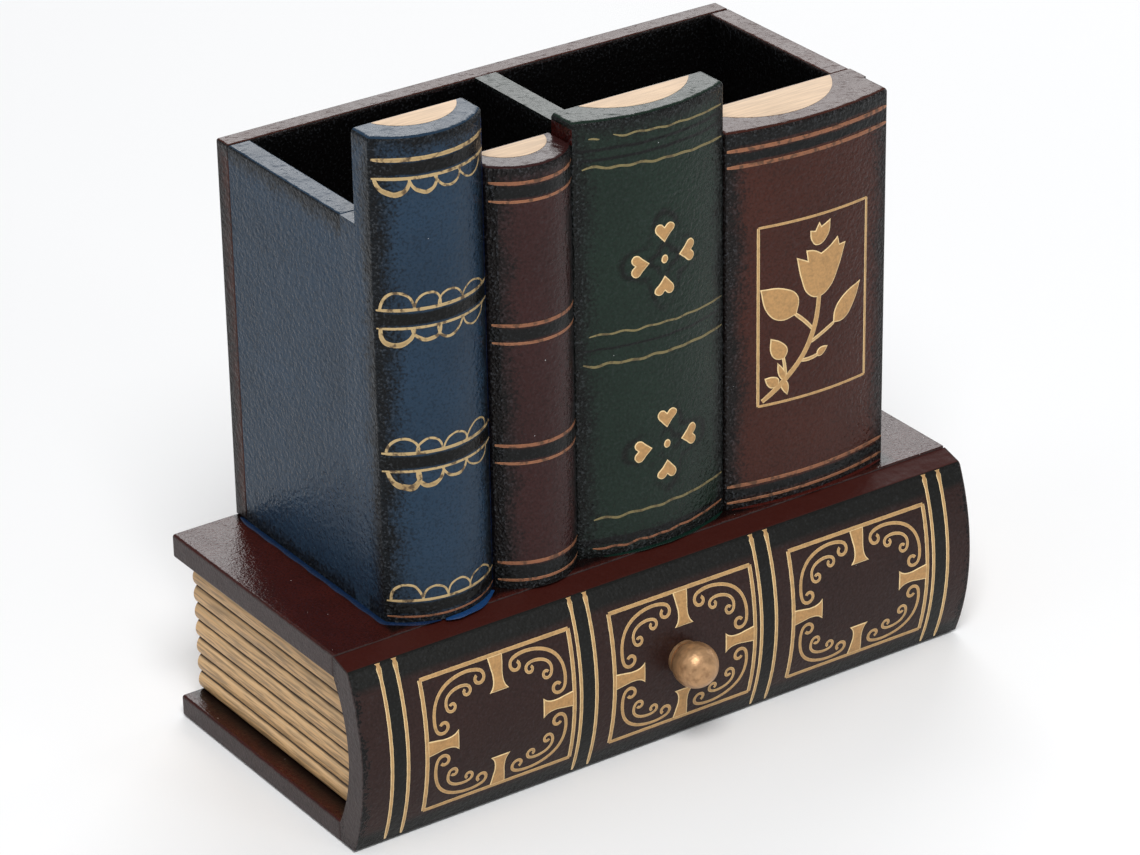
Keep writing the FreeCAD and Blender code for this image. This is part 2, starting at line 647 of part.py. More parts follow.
# Drawer.
drawer_brads = brads("drawer_brads", "drawer_brad_radius", "drawer_brad_length",
                     TO_THE_RIGHT, drawer_brad_places())
side_top = f"{DRAWER_FLOOR} + {SIDE_HEIGHT}"
inner_width = f"{DRAWER_WIDTH} - 2 * drawer_board"
drawer_right = f"{DRAWER_LEFT} + {DRAWER_WIDTH} - drawer_board"
blanks = [
    ("drawer_left_side",
     hollow_fronted("drawer_left_side", "drawer_board", DRAWER_FLOOR, side_top, DRAWER_LEFT)),
    ("drawer_right_side",
     hollow_fronted("drawer_right_side", "drawer_board", DRAWER_FLOOR, side_top, drawer_right)),
    ("drawer_bottom",
     hollow_fronted("drawer_bottom", inner_width, DRAWER_FLOOR,
                    f"{DRAWER_FLOOR} + drawer_bottom_thickness",
                    f"{DRAWER_LEFT} + drawer_board")),
    ("drawer_back",
     board("drawer_back_blank",
           (inner_width, "drawer_board",
            f"{SIDE_HEIGHT} - drawer_bottom_thickness - drawer_back_step"),
           (f"{DRAWER_LEFT} + drawer_board", f"{LANDING} + {DRAWER_RUN} - drawer_board",
            f"{DRAWER_FLOOR} + drawer_bottom_thickness"))),
]
nodes += [drawer_brads, drawer_front(), drawer_knob(), knob_screw()]
nodes += [drill(name, blank, drawer_brads) for name, blank in blanks]


def check(thing):
    """Stop on a failed object or on a piece without a sound shape."""
    if {"Invalid", "Error"} & set(thing.State):
        raise RuntimeError(f"{thing.Label} failed: {thing.State}")
    if thing in nodes and (thing.Shape.isNull() or not thing.Shape.isValid()):
        raise RuntimeError(f"{thing.Label} has no sound shape")


doc.recompute()
for item in doc.Objects:
    check(item)
os.makedirs("parts", exist_ok=True)
for node in nodes:
    node.Shape.exportStep(f"parts/{node.Label}.step")
print(f"wrote {len(nodes)} parts")
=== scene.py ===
"""Looks of a painted wooden desk holder for brushes and pens, made as a row of books on a lying book.

The boards, blocks and the drawer are the fixed frame. This script paints them, and adds what the
painter adds by hand: gold and copper trim, the page-coloured tops, and the paint run at the feet.
Lengths are written in millimetres and turned into metres where a mesh is made.
"""

import logging
import math
import random
from collections.abc import Callable
from dataclasses import dataclass, field
from enum import Enum

import bpy
from mathutils import Matrix, Vector


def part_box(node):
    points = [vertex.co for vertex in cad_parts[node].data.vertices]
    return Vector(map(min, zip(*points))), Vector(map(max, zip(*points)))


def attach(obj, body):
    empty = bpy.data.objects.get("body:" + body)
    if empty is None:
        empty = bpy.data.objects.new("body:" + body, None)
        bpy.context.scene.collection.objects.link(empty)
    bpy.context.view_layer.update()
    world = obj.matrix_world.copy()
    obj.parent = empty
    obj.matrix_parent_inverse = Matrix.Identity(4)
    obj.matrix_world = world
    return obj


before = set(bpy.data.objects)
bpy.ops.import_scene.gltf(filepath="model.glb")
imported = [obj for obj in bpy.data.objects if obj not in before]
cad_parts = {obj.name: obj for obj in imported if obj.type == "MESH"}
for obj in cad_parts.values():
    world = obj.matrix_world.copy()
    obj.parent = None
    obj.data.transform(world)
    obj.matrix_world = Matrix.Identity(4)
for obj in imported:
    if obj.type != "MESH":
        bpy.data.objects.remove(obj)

MM = 0.001
LOG = logging.getLogger("organiser")
CASE = "case"
DRAWER = "drawer"
ACROSS = Vector((1, 0, 0))
BACKWARD = Vector((0, 1, 0))
UP = Vector((0, 0, 1))
FAR = 200.0  # past every edge of the object, in millimetres
AHEAD = 10 * MM  # how far in front of a node a look back at it starts, in metres
LOOKS_ALONG = 0.72  # share of a normal past which its face looks along an axis
SPECK = 0.16  # radius of the largest speck, in millimetres; the white specks are dust and painted glints

Colour = tuple[float, float, float]
Point = tuple[float, float]
Point3 = tuple[float, float, float]
Value = "Signal | bpy.types.NodeSocket | float | tuple"


def linear(colour: Colour, strength: float = 1.0) -> tuple[float, float, float, float]:
    """Turns a display colour into the linear one that a shader takes.

    Args:
        colour: red, green and blue from 0 to 255.
        strength: under 1 for a darker colour, over 1 for a paler one.

    Returns:
        Linear red, green and blue from 0 to 1, and an alpha of 1.
    """
    shares = [channel * strength / 255 for channel in colour]
    return (*(s / 12.92 if s <= 0.04045 else ((s + 0.055) / 1.055) ** 2.4 for s in shares), 1.0)


def box_mm(node: str) -> tuple[Vector, Vector]:
    """Lowest and highest corner of a node of the frame, in millimetres."""
    low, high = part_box(node)
    return low / MM, high / MM


# ---------------------------------------------------------------- shader maths


class Signal:
    """A number that varies over a surface: a node's socket that takes arithmetic."""

    def __init__(self, graph: "Graph", socket: bpy.types.NodeSocket) -> None:
        """Keeps the socket and the graph that adds nodes for it."""
        self.graph = graph
        self.socket = socket

    def __add__(self, other: Value) -> "Signal":
        """Sum."""
        return self.graph.math("ADD", self, other)

    def __sub__(self, other: Value) -> "Signal":
        """Difference."""
        return self.graph.math("SUBTRACT", self, other)

    def __mul__(self, other: Value) -> "Signal":
        """Product."""
        return self.graph.math("MULTIPLY", self, other)

    def __truediv__(self, other: Value) -> "Signal":
        """Quotient."""
        return self.graph.math("DIVIDE", self, other)

    def __rsub__(self, other: float) -> "Signal":
        """A number less this."""
        return self.graph.math("SUBTRACT", other, self)

    __radd__ = __add__
    __rmul__ = __mul__

    def call(self, operation: str, other: Value = 0.0) -> "Signal":
        """Any other Math operation, such as MINIMUM or SINE."""
        return self.graph.math(operation, self, other)

    def above(self, limit: Value) -> "Signal":
        """1 where this is over the limit, else 0."""
        return self.call("GREATER_THAN", limit)

    def fade(self, start: float, end: float) -> "Signal":
        """Goes smoothly from 0 to 1.

        Args:
            start: where this is so much, the result is 0.
            end: where this is so much, it is 1; the end may be less than the start.

        Returns:
            The result, which stays at 0 or 1 beyond them.
        """
        ramp = self.graph.node(
            "MapRange", {"interpolation_type": "SMOOTHSTEP"},
            {"Value": self, "From Min": min(start, end), "From Max": max(start, end)})
        rising = Signal(self.graph, ramp.outputs["Result"])
        return rising if end > start else 1 - rising

    def between(self, low: float, high: float, soft: float) -> "Signal":
        """1 from low to high, fading to 0 so far to either side of each of them."""
        return self.fade(low - soft, low + soft) * self.fade(high + soft, high - soft)


class Graph:
    """The node tree of one material."""

    def __init__(self, name: str) -> None:
        """Starts an empty tree with the object's own coordinates and facing."""
        self.material = bpy.data.materials.new(name)
        self.material.use_nodes = True
        self.tree = self.material.node_tree
        self.tree.nodes.clear()
        coordinates = self.node("TexCoord")
        self.where = coordinates.outputs["Object"]
        self.x, self.y, self.z = (part * (1 / MM) for part in self.split(self.where))
        self.facing = self.split(coordinates.outputs["Normal"])

    def feed(self, socket: bpy.types.NodeSocket, value: Value) -> None:
        """Links a socket to a signal or another socket, or sets it to a plain value."""
        if isinstance(value, Signal):
            self.tree.links.new(value.socket, socket)
        elif isinstance(value, bpy.types.NodeSocket):
            self.tree.links.new(value, socket)
        else:
            socket.default_value = value

    def node(self, kind: str, settings: dict | None = None,
             inputs: dict | None = None) -> bpy.types.Node:
        """Adds one node.

        Args:
            kind: the node's type, without its ShaderNode prefix.
            settings: the node's own properties, set first.
            inputs: values or links, by socket name or number.

        Returns:
            The new node.
        """
        made = self.tree.nodes.new("ShaderNode" + kind)
        for name, value in (settings or {}).items():
            setattr(made, name, value)
        for name, value in (inputs or {}).items():
            self.feed(made.inputs[name], value)
        return made

    def math(self, operation: str, first: Value, second: Value) -> Signal:
        """One Math node on two values."""
        made = self.node("Math", {"operation": operation}, {0: first, 1: second})
        return Signal(self, made.outputs["Value"])

    def split(self, vector: bpy.types.NodeSocket) -> tuple[Signal, Signal, Signal]:
        """The X, Y and Z of a vector."""
        made = self.node("SeparateXYZ", None, {"Vector": vector})
        return tuple(Signal(self, made.outputs[axis]) for axis in "XYZ")

    def noise(self, size: float, detail: float = 2.0, stretch: Point3 = (1, 1, 1)) -> Signal:
        """Cloudy noise from 0 to 1 about 0.5.

        Args:
            size: width of its features in millimetres.
            detail: octaves of finer noise.
            stretch: how much shorter the features are along X, Y and Z.

        Returns:
            The noise.
        """
        place = self.node("Mapping", None, {"Vector": self.where, "Scale": stretch})
        made = self.node("TexNoise", None, {
            "Vector": place.outputs["Vector"], "Scale": 1 / (size * MM), "Detail": detail})
        return Signal(self, made.outputs[0])

    def waver(self, size: float, swing: float, detail: float = 2.0) -> Signal:
        """Noise about 0 that moves an edge as an unsteady hand does, both in millimetres."""
        return (self.noise(size, detail) - 0.5) * swing

    def specks(self, spacing: float, share: float) -> Signal:
        """1 in small round specks, 0 elsewhere.

        Args:
            spacing: distance between the cells that may hold a speck, in millimetres.
            share: part of the cells that hold one.

        Returns:
            The mask.
        """
        made = self.node("TexVoronoi", None, {"Vector": self.where, "Scale": 1 / (spacing * MM)})
        draw = self.split(made.outputs["Color"])[0]
        size = (draw - (1 - share)).call("MAXIMUM", 0.0) * (SPECK / spacing / share)
        return size.above(Signal(self, made.outputs["Distance"]))

    def blend(self, mask: Value, under: Value, over: Value) -> bpy.types.NodeSocket:
        """One linear colour, covered by another as far as the mask says."""
        made = self.node("Mix", {"data_type": "RGBA"}, {0: mask, 6: under, 7: over})
        return made.outputs[2]

    def cover(self, mask: Value, under: Value, colour: Colour) -> bpy.types.NodeSocket:
        """A linear colour, covered by a display colour as far as the mask says."""
        return self.blend(mask, under, linear(colour))

    def mottle(self, mask: Value, colour: Colour, dark: float, pale: float) -> bpy.types.NodeSocket:
        """A display colour that goes from one strength to another as the mask does."""
        return self.blend(mask, linear(colour, dark), linear(colour, pale))

    def edge_gap(self, low: Vector, high: Vector) -> Signal:
        """Distance in millimetres to the nearest edge of a face of a box.

        Args:
            low: lowest corner of the box.
            high: highest corner of the box.

        Returns:
            The distance, the same on all faces.
        """
        gaps = []
        for axis, along in enumerate((self.x, self.y, self.z)):
            inward = (along - low[axis]).call("MINIMUM", high[axis] - along)
            gaps.append(inward + self.facing[axis].call("ABSOLUTE").above(LOOKS_ALONG) * FAR)
        return gaps[0].call("MINIMUM", gaps[1]).call("MINIMUM", gaps[2])

    def surface(self, colour: Value, roughness: Value, relief: Value = None, depth: float = 0.0,
                metallic: float = 0.0, specular: float = 0.5) -> bpy.types.Material:
        """Ends the tree in one shader.

        Args:
            colour: base colour.
            roughness: roughness of the surface.
            relief: its height from 0 to 1.
            depth: how far the relief rises, in millimetres.
            metallic: 0 for paint, towards 1 for metal.
            specular: strength of the plain gloss.

        Returns:
            The finished material.
        """
        shader = self.node("BsdfPrincipled", None, {
            "Base Color": colour, "Roughness": roughness, "Metallic": metallic,
            "Specular IOR Level": specular})
        if relief is not None:
            bump = self.node(
                "Bump", None, {"Height": relief, "Distance": depth * MM, "Strength": 1.0})
            self.feed(shader.inputs["Normal"], bump.outputs["Normal"])
        self.node("OutputMaterial", None, {"Surface": shader.outputs["BSDF"]})
        return self.material


# -------------------------------------------------------------------- finishes

Layer = Callable[[Graph], tuple[Signal, Colour]]
SOOT: Colour = (11, 12, 12)
INK: Colour = (7, 6, 6)
DARK_RED: Colour = (58, 22, 17)
TAN_SHADE: Colour = (92, 66, 40)


def band(low: float, high: float, colour: Colour = SOOT, soft: float = 0.3) -> Layer:
    """A brushed band round the front of a spine.

    Args:
        low: height of its lower edge in millimetres.
        high: height of its upper edge.
        colour: colour of the band.
        soft: how far its edges fade.

    Returns:
        The layer.
    """
    def lay(graph: Graph) -> tuple[Signal, Colour]:
        """Mask and colour of the band."""
        height = graph.z + graph.waver(5.0, 0.8)
        end_grain = graph.facing[0].call("ABSOLUTE").above(0.9)
        return height.between(low, high, soft) * (1 - end_grain), colour
    return lay


def stripe(middle: float, half: float, colour: Colour, soft: float) -> Layer:
    """An upright stripe.

    Args:
        middle: place of its middle along X in millimetres.
        half: half its width.
        colour: colour of the stripe.
        soft: how far its edges fade.

    Returns:
        The layer.
    """
    def lay(graph: Graph) -> tuple[Signal, Colour]:
        """Mask and colour of the stripe."""
        along = graph.x + graph.waver(6.0, 0.8)
        return along.between(middle - half, middle + half, soft), colour
    return lay


def block_of(low: Point3, high: Point3, colour: Colour) -> Layer:
    """Another colour inside a box.

    Args:
        low: lowest corner of the box in millimetres.
        high: its highest corner.
        colour: the colour.

    Returns:
        The layer.
    """
    def lay(graph: Graph) -> tuple[Signal, Colour]:
        """Mask and colour of the box."""
        within = 1.0
        for axis, along in enumerate((graph.x, graph.y, graph.z)):
            within = along.above(low[axis]) * (1 - along.above(high[axis])) * within
        return within, colour
    return lay


def ring(middle: Point, radius: float, lobes: float) -> Layer:
    """A soft dark line round a four-leafed motif.

    Args:
        middle: X and height of the motif's middle in millimetres.
        radius: mean radius of the line.
        lobes: how far the line swings out over each leaf.

    Returns:
        The layer.
    """
    def lay(graph: Graph) -> tuple[Signal, Colour]:
        """Mask and colour of the line."""
        across, up = graph.x - middle[0], graph.z - middle[1]
        reach = (across * across + up * up).call("SQRT")
        turn = up.call("ARCTAN2", across)
        outline = (turn * 4).call("COSINE") * lobes + radius
        gap = (reach - outline + graph.waver(4.0, 2.6)).call("ABSOLUTE")
        return gap.fade(1.7, 0.1) * graph.noise(7.0).fade(0.3, 0.6) * 0.8, INK
    return lay


@dataclass(frozen=True)
class Lacquer:
    """Gloss paint with airbrushed dark edges, orange peel, painted shade in its pits, painted glints on
    its pebbles, and white specks.
    """

    colour: Colour
    shade: Colour = SOOT
    # pale colour painted as glints on the lit pebbles
    pebble_glint: Colour = (64, 67, 71)
    # white of the specks: settled dust, and painted glints as well
    speck: Colour = (205, 205, 208)
    reach: float = 6.5
    roughness: float = 0.25
    peel: float = 0.42
    # share of cells that hold a white speck, settled dust and painted glint alike
    dust_and_glint: float = 0.2
    gloss: float = 0.17

    def paint(self, name: str, low: Vector, high: Vector,
              layers: tuple[Layer, ...] = ()) -> bpy.types.Material:
        """Makes the paint of one piece.

        Args:
            name: name of the material.
            low: lowest corner of the box whose edges are airbrushed, in millimetres.
            high: its highest corner.
            layers: more paint on top, in order.

        Returns:
            The material.
        """
        graph = Graph(name)
        colour = graph.mottle(graph.noise(22.0, 3.0), self.colour, 0.82, 1.16)
        grit = graph.noise(0.7)
        gap = graph.edge_gap(low, high) + graph.waver(8.0, 6, 4.0) + (grit - 0.5) * 7
        top = graph.facing[2].above(LOOKS_ALONG)
        sooty = gap.fade(self.reach, 0.6) * (1 - top)
        colour = graph.cover(sooty * 0.92, colour, self.shade)
        for layer in layers:
            mask, over = layer(graph)
            colour = graph.cover(mask, colour, over)
        side = 1 - top * 0.7
        # painted shade: dark specks in the pits between the pebbles, most where the airbrush is dark,
        # fewer on tops
        colour = graph.cover(grit.fade(0.5, 0.36) * (sooty * 0.4 + 0.3) * side, colour, INK)
        # painted glints: pale specks on the lit pebbles, most where the airbrush is dark, fewer on tops
        colour = graph.cover(grit.fade(0.54, 0.7) * (sooty * 0.45 + 0.14) * side, colour, self.pebble_glint)
        # white specks: settled dust, and painted glints as well
        colour = graph.cover(graph.specks(3.2, self.dust_and_glint) * 0.75, colour, self.speck)
        rough = sooty * 0.08 + graph.waver(9.0, 0.14) + self.roughness
        pebbles = graph.noise(1.3, 1.0) * (0.6 - top * 0.4) + grit * (sooty * 0.9 + side * 0.35)
        pools = graph.noise(3.6, 1.0) * top * 0.9
        return graph.surface(colour, rough, pebbles + pools, self.peel, specular=self.gloss)


@dataclass(frozen=True)
class CoverPaint:
    """Deep red-brown gloss on the flat of a cover board, dull grey-brown primer on its edges."""

    flat: tuple[Colour, Colour] = ((40, 15, 12), (72.5, 27.5, 21.25))
    edge: tuple[Colour, Colour] = ((52, 43, 42), (72.6, 60.5, 59.4))
    # white of the specks: settled dust, and painted glints as well
    speck: Colour = (200, 190, 186)

    def paint(self, name: str, top: float, airbrush: Layer) -> bpy.types.Material:
        """Makes the paint of one cover.

        Args:
            name: name of the material.
            top: height of the cover's upper face in millimetres.
            airbrush: dark part of the flat.

        Returns:
            The material.
        """
        graph = Graph(name)
        flat = graph.blend(graph.noise(16.0, 4.0), *map(linear, self.flat))
        rim = (graph.z + graph.waver(2.5, 0.5, 3.0)).fade(top - 0.2, top - 0.55)
        edge = graph.blend(graph.noise(3.0, 4.0, (1, 1, 3)), *map(linear, self.edge))
        mask, over = airbrush(graph)
        colour = graph.blend(rim, graph.cover(mask, flat, over), edge)
        # painted shade: dark specks in the pits of the gloss
        colour = graph.cover(graph.noise(0.6).fade(0.5, 0.36) * 0.35, colour, INK)
        # white specks: settled dust, and painted glints as well
        colour = graph.cover(graph.specks(1.7, 0.3) * 0.8, colour, self.speck)
        rough = rim * 0.3 + graph.waver(7.0, 0.12) + 0.2
        relief = graph.noise(1.5, 1.5) * 0.6 + graph.noise(0.55) * (rim * 0.4 + 0.5)
        return graph.surface(colour, rough, relief, 0.2, specular=0.24)


@dataclass(frozen=True)
class PagePaint:
    """Satin gold-tan on the grooved page blocks, with brown wash left in the grooves and a painted
    highlight on each rib under its groove.
    """

    colour: Colour = (190, 153, 107)
    # pale colour of the painted highlight on each rib
    crest_highlight: Colour = (224, 190, 144)
    leaf: Colour = (92, 60, 36)
    wash: Colour = (40, 20, 12)
    speck: Colour = (96, 66, 40)
    grooves: int = 8

    def paint(self, name: str, low: float, high: float, grain: Point3) -> bpy.types.Material:
        """Makes the paint of one page block.

        Args:
            name: name of the material.
            low: height of the block's foot in millimetres.
            high: height of its top.
            grain: stretch of the brush streaks along the block.

        Returns:
            The material.
        """
        graph = Graph(name)
        streak = graph.noise(0.55, 3.0, grain)
        height = graph.z + graph.waver(4.0, 0.25) - low
        phase = (height / ((high - low) / self.grooves)).call("FRACT")
        colour = graph.mottle(streak.fade(0.36, 0.6), self.colour, 0.82, 1.1)
        # painted highlight on the top of each rib, just under the groove above it
        crest_highlight = phase.fade(0.72, 0.8) * phase.fade(0.92, 0.86)
        colour = graph.cover(crest_highlight * 0.5, colour, self.crest_highlight)
        leaf = phase.fade(0.38, 0.44) * phase.fade(0.52, 0.46) * graph.noise(6.0).fade(0.35, 0.6)
        colour = graph.cover(leaf * 0.45, colour, self.leaf)
        groove = phase.fade(0.16, 0.04) + phase.fade(0.9, 0.98)
        colour = graph.cover(groove * 0.95, colour, self.wash)
        colour = graph.cover(graph.specks(2.2, 0.12) * 0.7, colour, self.speck)
        return graph.surface(colour, streak * 0.15 + 0.42, streak + graph.noise(0.6) * 0.6, 0.06)


@dataclass(frozen=True)
class MetalPaint:
    """Gold or copper paint laid with a fine brush, thin along its rims, with a painted highlight there.
    """

    colour: Colour
    # pale colour of the painted highlight along a stroke's rims
    rim: Colour
    ground: Colour = (60, 42, 28)
    wear: float = 0.15
    metallic: float = 0.3
    # film heights between which the painted rim highlight fades out towards the middle
    edge: Point = (0.7, 0.25)

    def paint(self, name: str) -> bpy.types.Material:
        """Makes the paint for strokes, which carry their own height from 0 to 1 as film."""
        graph = Graph(name)
        film = Signal(graph, graph.node("Attribute", {"attribute_name": "film"}).outputs["Fac"])
        grain = graph.noise(0.7, 3.0)
        body = graph.mottle(grain.fade(0.3, 0.7), self.colour, 0.94, 1.04)
        # painted highlight: the pale rim colour where the film is low, along the rims
        colour = graph.cover(film.fade(*self.edge), body, self.rim)
        thin = graph.noise(1.8, 5.0).fade(0.5, 0.64) * self.wear
        colour = graph.cover(thin, colour, self.ground)
        colour = graph.cover(graph.specks(1.6, 0.05) * 0.8, colour, TAN_SHADE)
        return graph.surface(colour, grain * 0.2 + 0.36, grain, 0.04, metallic=self.metallic)


@dataclass(frozen=True)
class TurnedGold:
    """Gold paint on a turned knob, with faint brush rings and worn places."""

    colour: Colour = (190, 149, 108)
    worn: Colour = (120, 84, 56)
    rings: Point3 = (0.3, 1, 0.3)
    metallic: float = 0.6

    def paint(self, name: str) -> bpy.types.Material:
        """Makes the paint."""
        graph = Graph(name)
        rings = graph.noise(0.6, 3.0, self.rings)
        worn = graph.noise(2.0, 5.0).fade(0.46, 0.7)
        colour = graph.mottle(rings.fade(0.3, 0.7), self.colour, 0.92, 1.02)
        colour = graph.cover(worn * 0.5, colour, self.worn)
        return graph.surface(colour, rings * 0.12 + 0.36, graph.noise(0.9), 0.09, self.metallic)


@dataclass(frozen=True)
class PlainPaint:
    """Flat paint or bare stock with a little grain, for what is seen least."""

    colour: Colour
    roughness: float = 0.6
    metallic: float = 0.0
    grain: Point3 = (1, 1, 1)
    specular: float = 0.5

    def paint(self, name: str) -> bpy.types.Material:
        """Makes the paint."""
        graph = Graph(name)
        grain = graph.noise(1.2, 4.0, self.grain)
        colour = graph.mottle(grain.fade(0.25, 0.75), self.colour, 0.92, 1.05)
        return graph.surface(
            colour, grain * 0.16 + self.roughness - 0.08, grain, 0.06, self.metallic, self.specular)


class Finish(Enum):
    """The paints that several pieces share."""

    BLUE = Lacquer((33, 52, 70), gloss=0.14)
    MAROON = Lacquer((48, 24, 23))
    GREEN = Lacquer((21, 36, 28))
    BROWN = Lacquer((61, 29, 21), reach=7.0)
    DRAWER_FRONT = Lacquer((44, 27, 24), reach=1.6, roughness=0.36, peel=0.2, dust_and_glint=0.1)
    COVER = CoverPaint()
    PAGES = PagePaint()
    # each metal paint's second colour is its painted rim highlight
    GOLD = MetalPaint((188, 148, 96), (236, 208, 156))
    LEAF_GOLD = MetalPaint((182, 140, 88), (238, 208, 154), edge=(0.99, 0.8))
    LINE_GOLD = MetalPaint((164, 136, 92), (186, 160, 114), wear=0.85)
    DULL_GOLD = MetalPaint((118, 106, 68), (140, 126, 84), wear=0.6)
    COPPER = MetalPaint((138, 88, 60), (166, 116, 82), wear=0.75)
    KNOB = TurnedGold()
    BLACK = PlainPaint((9, 8, 8), 0.7, specular=0.2)
    PAGE_TOP = PlainPaint((220, 192, 162), 0.62, grain=(0.12, 1.6, 1))
    BRADS = PlainPaint((158, 156, 152), 0.38, 0.9)
    SCREW = PlainPaint((176, 174, 168), 0.3, 1.0)


Palette = dict[Finish, bpy.types.Material]


def mix_palette() -> Palette:
    """The paints that the trims and the page tops share, each made once."""
    trims = (Finish.GOLD, Finish.LEAF_GOLD, Finish.LINE_GOLD, Finish.DULL_GOLD, Finish.COPPER)
    palette = {tin: tin.value.paint(tin.name.lower() + "_trim") for tin in trims}
    palette[Finish.PAGE_TOP] = Finish.PAGE_TOP.value.paint("page_top_paint")
    return palette


# ------------------------------------------------------------------- modelling


@dataclass(frozen=True)
class Stroke:
    """One pull of the brush along points in the plane of a face, in millimetres."""

    points: list[Point]
    width: float
    ends: float = 0.55
    bead: float = 0.0
    swell: float = 0.1
    belly: float = 0.0

    def widths(self) -> list[float]:
        """Width at each point: fine at the ends, uneven between, with a drop of paint at a bead."""
        last = len(self.points) - 1
        widths = [self.width * (1 + self.swell * math.sin(2.3 * n + self.points[0][0])
                                + self.belly * math.sin(math.pi * n / last) ** 2)
                  for n in range(last + 1)]
        widths[0] *= self.ends
        widths[last] *= self.ends
        if self.bead:
            widths[last - 1] = widths[last] = self.bead
        return widths


@dataclass(frozen=True)
class Corner:
    """One point of a filled outline, in millimetres; a sharp one keeps its corner."""

    x: float
    z: float
    sharp: bool = False


Outline = list[Corner]


def shape_of(*corners: tuple) -> Outline:
    """An outline from corners, each an X, a Z and True where it is sharp."""
    return [Corner(*corner) for corner in corners]


def only(*pieces: bpy.types.Object) -> None:
    """Selects these pieces and nothing else, the last one active."""
    bpy.ops.object.select_all(action="DESELECT")
    for piece in pieces:
        piece.select_set(True)
    bpy.context.view_layer.objects.active = pieces[-1]


def line(start: Point, end: Point, step: float = 1.5) -> list[Point]:
    """Evenly spaced points on a straight line.

    Args:
        start: its first point in millimetres.
        end: its last point.
        step: largest distance between two points.

    Returns:
        The points, at least five.
    """
    count = max(4, math.ceil(math.dist(start, end) / step))
    return [(start[0] + (end[0] - start[0]) * n / count, start[1] + (end[1] - start[1]) * n / count)
            for n in range(count + 1)]


def sides_of(corners: tuple[Point, ...], width: float, ends: float) -> list[Stroke]:
    """A stroke along each side of a closed frame."""
    return [Stroke(line(corners[n - 1], corners[n]), width, ends) for n in range(len(corners))]


def arc(centre: Point, radii: Point, start: float, end: float, count: int) -> list[Point]:
    """Points on an ellipse's arc, by its angles in degrees."""
    turns = [math.radians(start + (end - start) * n / (count - 1)) for n in range(count)]
    return [(centre[0] + radii[0] * math.cos(t), centre[1] + radii[1] * math.sin(t)) for t in turns]


def curl(centre: Point, radius: float, start: float, sweep: float, count: int = 9) -> list[Point]:
    """Points of a spiral that winds in to under half its radius.

    Args:
        centre: middle of the spiral in millimetres.
        radius: radius at its outer end.
        start: angle of its outer end in degrees.
        sweep: how far it turns, in degrees.
        count: number of points.

    Returns:
        The points, from the outer end in.
    """
    points = []
    for n in range(count):
        share = n / (count - 1)
        turn = math.radians(start + sweep * share)
        reach = radius * (1 - 0.62 * share)
        points.append((centre[0] + reach * math.cos(turn), centre[1] + reach * math.sin(turn)))
    return points


def new_curve(name: str, dimensions: str, bevel: float) -> bpy.types.Curve:
    """An empty curve.

    Args:
        name: its name.
        dimensions: 2D for a filled curve, 3D for a free one.
        bevel: radius of its rounding in millimetres.

    Returns:
        The curve.
    """
    curve = bpy.data.curves.new(name, "CURVE")
    curve.dimensions = dimensions
    curve.bevel_depth = bevel * MM
    curve.bevel_resolution = 1
    return curve


def as_mesh(curve: bpy.types.Curve, thickness: float) -> bpy.types.Object:
    """Turns a curve into a mesh piece that stands in the plane Y = 0.

    Args:
        curve: the curve.
        thickness: how thick the piece is made, as a share of the curve's own thickness.

    Returns:
        The piece.
    """
    lies_flat = curve.dimensions == "2D"
    piece = bpy.data.objects.new(curve.name, curve)
    bpy.context.scene.collection.objects.link(piece)
    only(piece)
    bpy.ops.object.convert(target="MESH")
    piece = bpy.context.view_layer.objects.active
    if lies_flat:
        piece.data.transform(Matrix.Rotation(math.pi / 2, 4, "X"))
    piece.data.transform(Matrix.Scale(thickness, 4, BACKWARD))
    return piece


def brush(name: str, strokes: list[Stroke], thickness: float) -> bpy.types.Object:
    """Draws strokes as flattened round beads of paint, standing in the plane Y = 0.

    Args:
        name: name of the piece.
        strokes: the strokes.
        thickness: how high a stroke a millimetre wide stands, in millimetres.

    Returns:
        The piece, a mesh.
    """
    half = 0.5
    curve = new_curve(name, "3D", half)
    curve.use_fill_caps = True
    for stroke in strokes:
        spline = curve.splines.new("NURBS")
        spline.points.add(len(stroke.points) - 1)
        for point, (x, z), width in zip(spline.points, stroke.points, stroke.widths()):
            point.co = (x * MM, 0, z * MM, 1)
            point.radius = width
        spline.use_endpoint_u = True
        spline.order_u = 4
        spline.resolution_u = 3
    return as_mesh(curve, thickness / half)


def inlay(name: str, outlines: list[Outline], thickness: float, rim: float) -> bpy.types.Object:
    """Fills outlines with paint that is rounded along its rim, standing in the plane Y = 0.

    Args:
        name: name of the piece.
        outlines: closed outlines that don't cross.
        thickness: how high the paint stands, in millimetres.
        rim: width of its rounded rim, in millimetres.

    Returns:
        The piece, a mesh.
    """
    curve = new_curve(name, "2D", rim)
    curve.fill_mode = "BOTH"
    curve.offset = -rim * MM
    for outline in outlines:
        spline = curve.splines.new("BEZIER")
        spline.bezier_points.add(len(outline) - 1)
        for point, corner in zip(spline.bezier_points, outline):
            point.co = (corner.x * MM, corner.z * MM, 0)
            kind = "VECTOR" if corner.sharp else "AUTO"
            point.handle_left_type = point.handle_right_type = kind
        spline.use_cyclic_u = True
        spline.resolution_u = 5
    return as_mesh(curve, thickness / rim)


